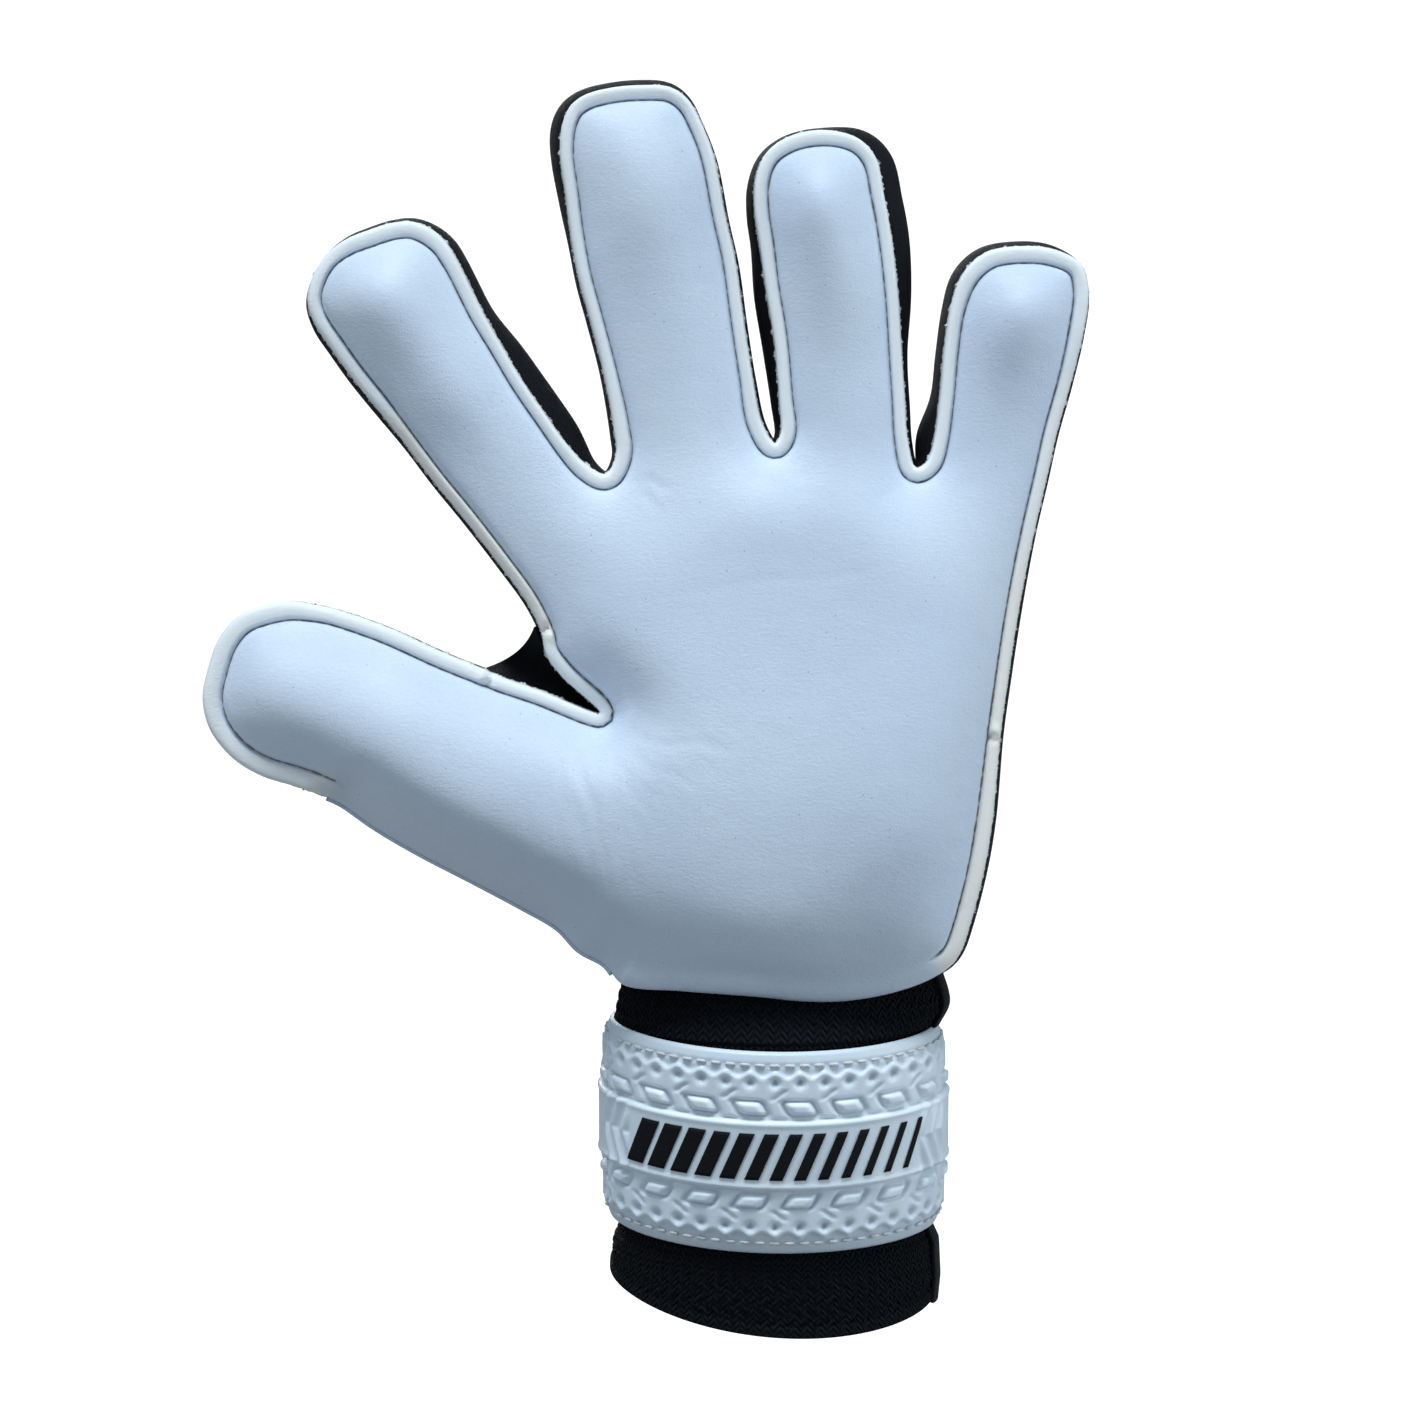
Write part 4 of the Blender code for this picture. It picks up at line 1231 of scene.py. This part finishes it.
def build_cuff():
    """The knitted tube: fine ribs under the strap, slanting stitches towards its cut rim."""
    around, along = 300, 210
    turn = np.linspace(0, 360, around, endpoint=False)
    share = np.linspace(0, 1, along)
    x0, y0 = 33.5 * np.cos(np.radians(turn)), 22 * np.sin(np.radians(turn))
    rim = -67.0 - 0.08 * x0 + 1.8 * (x0 / 33.5) ** 2 + 0.22 * y0
    w = 7 + (rim[None, :] - 7) * share[:, None]
    length = 175 * turn / 360
    rows = np.sin(2 * math.pi * w / 1.5) * smooth(-60, -57, w) * (1 - smooth(-8, -4, w))
    course = np.floor(w / 2.6)
    slant = np.where(course % 2 == 0, 1, -1) * (w / 2.6 - course)
    loops = np.sin(2 * math.pi * (length[None, :] / 2.9 + 0.9 * slant)) * np.abs(np.sin(math.pi * w / 2.6))
    low = 1 - smooth(-60, -57, w)
    relief = 0.20 * rows + 0.36 * loops * np.maximum(low, smooth(-8, -4, w))
    relief *= 1 - smooth(0.965, 0.975, share[:, None])
    relief += 0.5 * smooth(0.968, 0.975, share[:, None])  # the bound edge
    outer = cuff_points(turn[None, :], relief, w)
    inner = cuff_points(turn[None, :], -1.3, w)
    verts = np.concatenate((outer.reshape(-1, 3), inner.reshape(-1, 3)))
    index = np.arange(along * around).reshape(along, around)
    count = along * around
    following = np.roll(index, -1, 1)
    faces = np.stack((index[1:], following[1:], following[:-1], index[:-1]), -1).reshape(-1, 4)
    top = np.stack((index[0], following[0], following[0] + count, index[0] + count), -1)
    bottom = np.stack((index[-1], index[-1] + count, following[-1] + count, following[-1]), -1)
    faces = np.concatenate((faces, faces[:, ::-1] + count, top, bottom))
    uvs = np.stack((np.broadcast_to(length, w.shape), w), 2).reshape(-1, 2)
    bind_wrist(make_piece("wrist_knit", verts, faces, KNIT_LOOK, uvs=twice(uvs)), "wrist_cuff")


def build_seam_tape():
    """The satin tape that covers the cuff's seam on the little-finger side."""
    w = np.linspace(6.5, -69.5, 90)
    turn = np.linspace(-14, 2, 9)
    swell = 0.9 - 0.25 * np.abs(np.linspace(-1, 1, 9)) ** 3
    rows = cuff_points(turn[None, :], swell[None, :] - 0.3, w[:, None])
    verts, faces = strip(rows[::-1], 0.7)
    across, up = np.meshgrid(np.arange(9) * 0.6, w)
    uvs = np.stack((across, up), 2).reshape(-1, 2)
    piece = make_piece(
        "seam_tape", verts, faces, TAPE_LOOK, normals=vertex_normals(verts, faces), uvs=twice(uvs),
    )
    bind_wrist(piece, "cuff_seam_tape")


# The strap. turn is the angle round the oval in degrees; positions across it run down from its top.
STRAP_TOP, STRAP_HEIGHT = -8.4, 44.6
STRAP_HALF = (32.4, 22.0)
COVER_FACE = 4.2  # the cover's outer face off the oval
LINK = 10.6  # the length of one link in the moulded pattern; the dimples come twice as often
STRAP_SPANS = {"wrist": (30, -166), "fold": (194, 144), "curl": (144, 48)}


def strap_lift(turn):
    """The free flap lies over its closure tapes."""
    return 1.7 * smooth(180, 140, turn) * (np.asarray(turn) > 30)


def arc_of(turn):
    """Length round the strap's face from its front centre, in millimetres."""
    angles = np.linspace(-180, 200, 1521)
    x, y = oval(angles, COVER_FACE, STRAP_HALF)
    lengths = np.concatenate(([0], np.cumsum(np.hypot(np.diff(x), np.diff(y)))))
    return np.interp(turn, angles, lengths) - np.interp(-90, angles, lengths)


def strap_relief(s, w):
    """The moulded pattern: a plain raised panel between link rows and scalloped rows of dimples."""
    half = np.abs(w - STRAP_HEIGHT / 2)  # the pattern is the same above and below the middle
    level = np.zeros(np.broadcast(s, w).shape)
    # the raised middle, with a scalloped edge
    scallop = 18.9 - 1.3 * np.abs(np.sin(2 * np.pi * s / LINK)) ** 1.5
    level += 0.95 * smooth(0, 0.9, scallop - half)
    # a row of dimples
    shifted = (2 * s / LINK + 0.5) % 1 - 0.5
    level -= 1.5 * np.exp(-((shifted * LINK / 2) ** 2) - ((half - 15.9) / 0.95) ** 2)
    # a row of leaning links, each in its own groove
    cell = ((s + 0.55 * (half - 10.4)) / LINK) % 1 - 0.5
    pad = (np.abs(cell * LINK / 2.9) ** 6 + np.abs((half - 10.3) / 1.45) ** 6) ** (1 / 6)
    level += 0.7 * (1 - smooth(0.5, 1.0, pad)) - 0.9 * np.exp(-(((pad - 1.12) / 0.2) ** 2))
    # slanted grooves between the two rows
    spoke = np.abs(((s - 1.1 * (half - 12.6)) / LINK + 0.5) % 1 - 0.5) * LINK
    level -= 0.55 * np.exp(-((spoke / 0.75) ** 2)) * smooth(11.8, 12.6, half) * (1 - smooth(14.0, 14.8, half))
    # the plain panel, with a groove round it
    level += 0.75 * smooth(7.9, 7.2, half) - 0.55 * np.exp(-(((half - 7.9) / 0.45) ** 2))
    level += 0.25 * np.exp(-(((half - 6.9) / 0.6) ** 2))
    # slanted ribs at the panel's ends
    ends = np.abs(np.abs(s) - 37.5)
    ribs = 0.5 * np.sin(2 * math.pi * (s * 0.9 - np.sign(w - 22) * w * 0.4) / 3.4)
    level += ribs * smooth(5.0, 3.5, ends) * smooth(8.5, 7.5, half)
    return level - 0.3 * np.exp(-(((half - 19.6) / 0.4) ** 2))  # pressed in along the stitches


def strap_height(x, down):
    """Height in the wrist's frame: the strap rides up a little at the wrist's sides."""
    return STRAP_TOP - down + 1.3 * (x / STRAP_HALF[0]) ** 2 - 0.5 * x / STRAP_HALF[0]


def strap_points(turns, down, offset):
    """Points of the strap at an offset from its oval."""
    turn = np.broadcast_to(turns[:, None], offset.shape)
    x, y = oval(turn, offset + strap_lift(turn), STRAP_HALF)
    return from_cuff(np.stack((x, y, strap_height(x, down)), 2))


def bind_strap(piece, span):
    """Bind a piece of the strap to the wrist; a piece where the flap peels or curls has its place baked into
    its mesh.
    """
    if span == "wrist":
        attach(piece, "wrist")
        return
    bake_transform(piece)


def strap_layer(name, span, low, high, edge, step, moulded, look, replaced):
    """One layer of the strap over one span, from low to high off the oval."""
    first, last = STRAP_SPANS[span]
    turns = np.linspace(first, last, int(abs(arc_of(first) - arc_of(last)) / step) + 2)
    down = np.linspace(edge, STRAP_HEIGHT - edge, int(STRAP_HEIGHT / step) + 1)
    s = arc_of(turns)[:, None]
    w = down[None, :]
    relief = strap_relief(s, w) if moulded else np.zeros(np.broadcast(s, w).shape)
    border = np.minimum(w - edge, STRAP_HEIGHT - edge - w)
    rounding = 0.8 * (1 - np.sqrt(np.clip(1 - (1 - np.clip(border / 0.9, 0, 1)) ** 2, 0, 1)))
    rounding += moulded * 0.8 * (1 - smooth(0, 3.0, border))
    outer = strap_points(turns, down, high - rounding + relief)
    inner = strap_points(turns, down, np.full(relief.shape, low))
    # how far the moulded relief lies low, for painted shade in its hollows
    recess_shade_depth = np.clip(0.9 - relief, 0, 1.2).ravel()
    piece = make_piece(name, *closed_grid(outer, inner), look, floats={"low": twice(recess_shade_depth)})
    bind_strap(piece, span)
    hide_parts(replaced)


def build_strap():
    for span, node in (("wrist", "strap"), ("fold", "strap_flap"), ("curl", "strap_tip")):
        strap_layer(
            f"moulded_cover_{span}", span, 2.5, COVER_FACE, 0, 0.4, True, COVER_LOOK,
            node + "_cover",
        )
        strap_layer(
            f"elastic_band_{span}", span, 1.1, 2.3, 0.6, 1.2, False, ELASTIC_LOOK,
            node + "_band",
        )
        build_strap_stitches(span)


def build_strap_stitches(span):
    """White lock stitches along both edges of the cover."""
    first, last = STRAP_SPANS[span]
    pitch, length, margin = 3.2, 2.2, 2.7
    low, high = sorted((arc_of(first), arc_of(last)))
    places = np.arange(low + pitch, high - pitch, pitch)
    angles = np.linspace(min(first, last), max(first, last), 400)
    starts, ends, normals = [], [], []
    for across in (margin, STRAP_HEIGHT - margin):
        for shift, group in ((0.0, starts), (length, ends)):
            turn = np.interp(places + shift, arc_of(angles), angles)
            offset = np.full((len(turn), 1), COVER_FACE)
            group.append(strap_points(turn, np.array([across]), offset)[:, 0])
        outward = strap_points(turn, np.array([across]), np.full((len(turn), 1), COVER_FACE + 1))[:, 0]
        normals.append(outward - group[-1])
    verts, faces, _ = thread(*(np.concatenate(group) for group in (starts, ends, normals)), 0.38)
    piece = make_piece(f"strap_stitch_{span}", verts, faces, WHITE_THREAD)
    bind_strap(piece, span)


def build_print():
    """A plain printed run of slanted bars, bold at one end and thin at the other, on the panel."""
    bars, bold, thin = 13, 4.2, 1.3
    top, bottom, slant = 17.3, 27.5, 0.42  # down the strap, and how far a bar leans for each millimetre
    angles = np.linspace(-180, 20, 900)
    verts, faces = [], []
    left = -31.3  # where a bar starts, along the strap's face from its front centre
    for share in np.linspace(0, 1, bars):
        width = bold + (thin - bold) * share
        s, down = np.meshgrid(np.linspace(0, width, 9), np.linspace(top, bottom, 13))
        s += left - slant * (down - (top + bottom) / 2)
        turn = np.interp(s, arc_of(angles), angles)
        x, y = oval(turn, COVER_FACE + strap_relief(s, down) + 0.12, STRAP_HALF)
        rows = from_cuff(np.stack((x, y, strap_height(x, down)), 2))
        bar, bar_faces = strip(rows[::-1], 0.2)
        faces.append(bar_faces + sum(len(v) for v in verts))
        verts.append(bar)
        left += width + 1.35 + 2.0 * share
    verts, faces = np.concatenate(verts), np.concatenate(faces)
    piece = make_piece("strap_print", verts, faces, PRINT_LOOK)
    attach(piece, "wrist")


# Floor, light and camera ----------------------------------------------------------------------------


def build_sweep():
    """A plain white floor that curves up into a backdrop."""
    size, bend, corner = 4.0, 0.6, 1.9
    look = Shader("studio_paper", 0.9)
    tone = look.mix(look.noise(3, 2), (0.22, 0.22, 0.22), (0.25, 0.25, 0.25))
    paper = look.finish(tone)
    seen = look.node("ShaderNodeLightPath").outputs["Is Camera Ray"]
    look.surface.inputs["Emission Color"].default_value = (1, 1, 1, 1)
    look.put(look.math("MULTIPLY", seen, 1.0), look.surface.inputs["Emission Strength"])
    floor = -0.012
    profile = [(-size, floor), (corner, floor)]
    for k in range(1, 13):
        turn = math.pi / 2 * k / 12
        profile.append((corner + bend * math.sin(turn), floor + bend - bend * math.cos(turn)))
    profile.append((corner + bend, size))
    verts = [(x, y, z) for y, z in profile for x in (-size, size)]
    faces = [(2 * i, 2 * i + 1, 2 * i + 3, 2 * i + 2) for i in range(len(profile) - 1)]
    mesh = bpy.data.meshes.new("studio_sweep")
    mesh.from_pydata(verts, [], faces)
    mesh.polygons.foreach_set("use_smooth", np.ones(len(faces), bool))
    mesh.materials.append(paper)
    sweep = bpy.data.objects.new("studio_sweep", mesh)
    bpy.context.scene.collection.objects.link(sweep)
    sweep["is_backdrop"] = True


# The soft lights: place, power, width, height and colour.
LIGHTS = {
    "key_light": ((-0.30, -1.80, 3.86), 168.0, 2.6, 1.4, (0.90, 0.965, 1)),
    "left_light": ((-0.85, -0.60, 0.45), 1.8, 0.7, 0.7, (0.88, 0.95, 1)),
    "fill_light": ((1.0, -0.30, 0.06), 7.2, 0.8, 0.8, (0.88, 0.96, 1)),
    "back_light": ((-0.2, 1.1, 0.7), 8.0, 0.8, 0.5, (0.92, 0.97, 1)),
}


def area_light(name, target, place, power, width, height, colour):
    light = bpy.data.lights.new(name, "AREA")
    light.shape = "RECTANGLE"
    light.size, light.size_y = width, height
    light.energy = power
    light.color = colour
    made = bpy.data.objects.new(name, light)
    made.location = place
    made.rotation_euler = (Vector(target) - Vector(place)).to_track_quat("-Z", "Y").to_euler()
    bpy.context.scene.collection.objects.link(made)


def build_lights():
    """Soft area lights round the glove and a dim sky, white only to the camera."""
    low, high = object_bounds()
    centre = (Vector(low) + Vector(high)) / 2
    for name, settings in LIGHTS.items():
        area_light(name, centre, *settings)
    world = bpy.data.worlds.new("studio")
    world.use_nodes = True
    nodes, links = world.node_tree.nodes, world.node_tree.links
    background = nodes["Background"]
    background.inputs["Color"].default_value = (0.66, 0.85, 1, 1)
    background.inputs["Strength"].default_value = 0.15
    seen = nodes.new("ShaderNodeBackground")  # white where the camera looks past the sweep
    seen.inputs["Color"].default_value = (1, 1, 1, 1)
    ray, mix = nodes.new("ShaderNodeLightPath"), nodes.new("ShaderNodeMixShader")
    links.new(ray.outputs["Is Camera Ray"], mix.inputs[0])
    links.new(background.outputs[0], mix.inputs[1])
    links.new(seen.outputs[0], mix.inputs[2])
    links.new(mix.outputs[0], nodes["World Output"].inputs["Surface"])
    bpy.context.scene.world = world
    bpy.context.scene.view_settings.view_transform = "Standard"


def build_camera():
    """Level with the palm's middle, square to it, the whole glove in view."""
    view_width, distance = 0.3057, 1.1
    target = to_row((-13.4, PALM_Y, 126.0))
    camera = bpy.data.cameras.new("camera")
    camera.sensor_width = 36
    camera.lens = camera.sensor_width * distance / view_width
    made = bpy.data.objects.new("camera", camera)
    made.location = (target[0], target[1] - distance, target[2])
    made.rotation_euler = (math.pi / 2, 0, 0)
    bpy.context.scene.collection.objects.link(made)
    bpy.context.scene.camera = made


def stand_for_cad(names):
    """Hide the plain CAD solids that each region's pieces stand in for."""
    for region_name, nodes in names.items():
        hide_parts(*nodes)


def dress_cad(nodes, look):
    """Give CAD nodes that stay as they are a detailed material."""
    for name in nodes:
        mesh = frame["nodes"][name].data
        mesh.materials.clear()
        mesh.materials.append(look)


palm, back, walls = build_palm(), build_back(), build_walls()
build_fringe()
build_rim_stitches()
build_web()
build_cuff()
build_seam_tape()
build_strap()
build_print()

stand_for_cad({
    "palm": ("palm_foam",),
    "thumb_root": ("thumb_base_palm_foam", "thumb_wrap_foam"), "thumb_tip": ("thumb_tip_palm_foam",),
    **{f"{name}_root": (f"{name}_base_palm_foam",) for name in FINGERS},
    **{f"{name}_tip": (f"{name}_tip_palm_foam",) for name in FINGERS},
})
stand_for_cad({
    "palm": ("backhand_panel",), "thumb_root": ("thumb_base_back",), "thumb_tip": ("thumb_tip_back",),
    **{f"{name}_root": (f"{name}_base_back",) for name in FINGERS},
    **{f"{name}_tip": (f"{name}_tip_back",) for name in FINGERS},
})
stand_for_cad({
    "palm": (
        "index_side_gusset", "little_side_gusset", "index_middle_web", "middle_ring_web", "ring_little_web",
    ),
    "thumb_root": ("thumb_base_gusset",), "thumb_tip": ("thumb_tip_gusset",),
    **{
        f"{name}_root": (f"{name}_base_gusset_outer_side", f"{name}_base_gusset_thumb_side")
        for name in FINGERS
    },
    **{f"{name}_tip": (f"{name}_tip_gusset",) for name in FINGERS},
})
dress_cad(("palm_lining", "backhand_lining"), LINING_LOOK)
dress_cad(("hook_patch", "loop_patch"), PATCH_LOOK)
build_sweep()
build_lights()
build_camera()
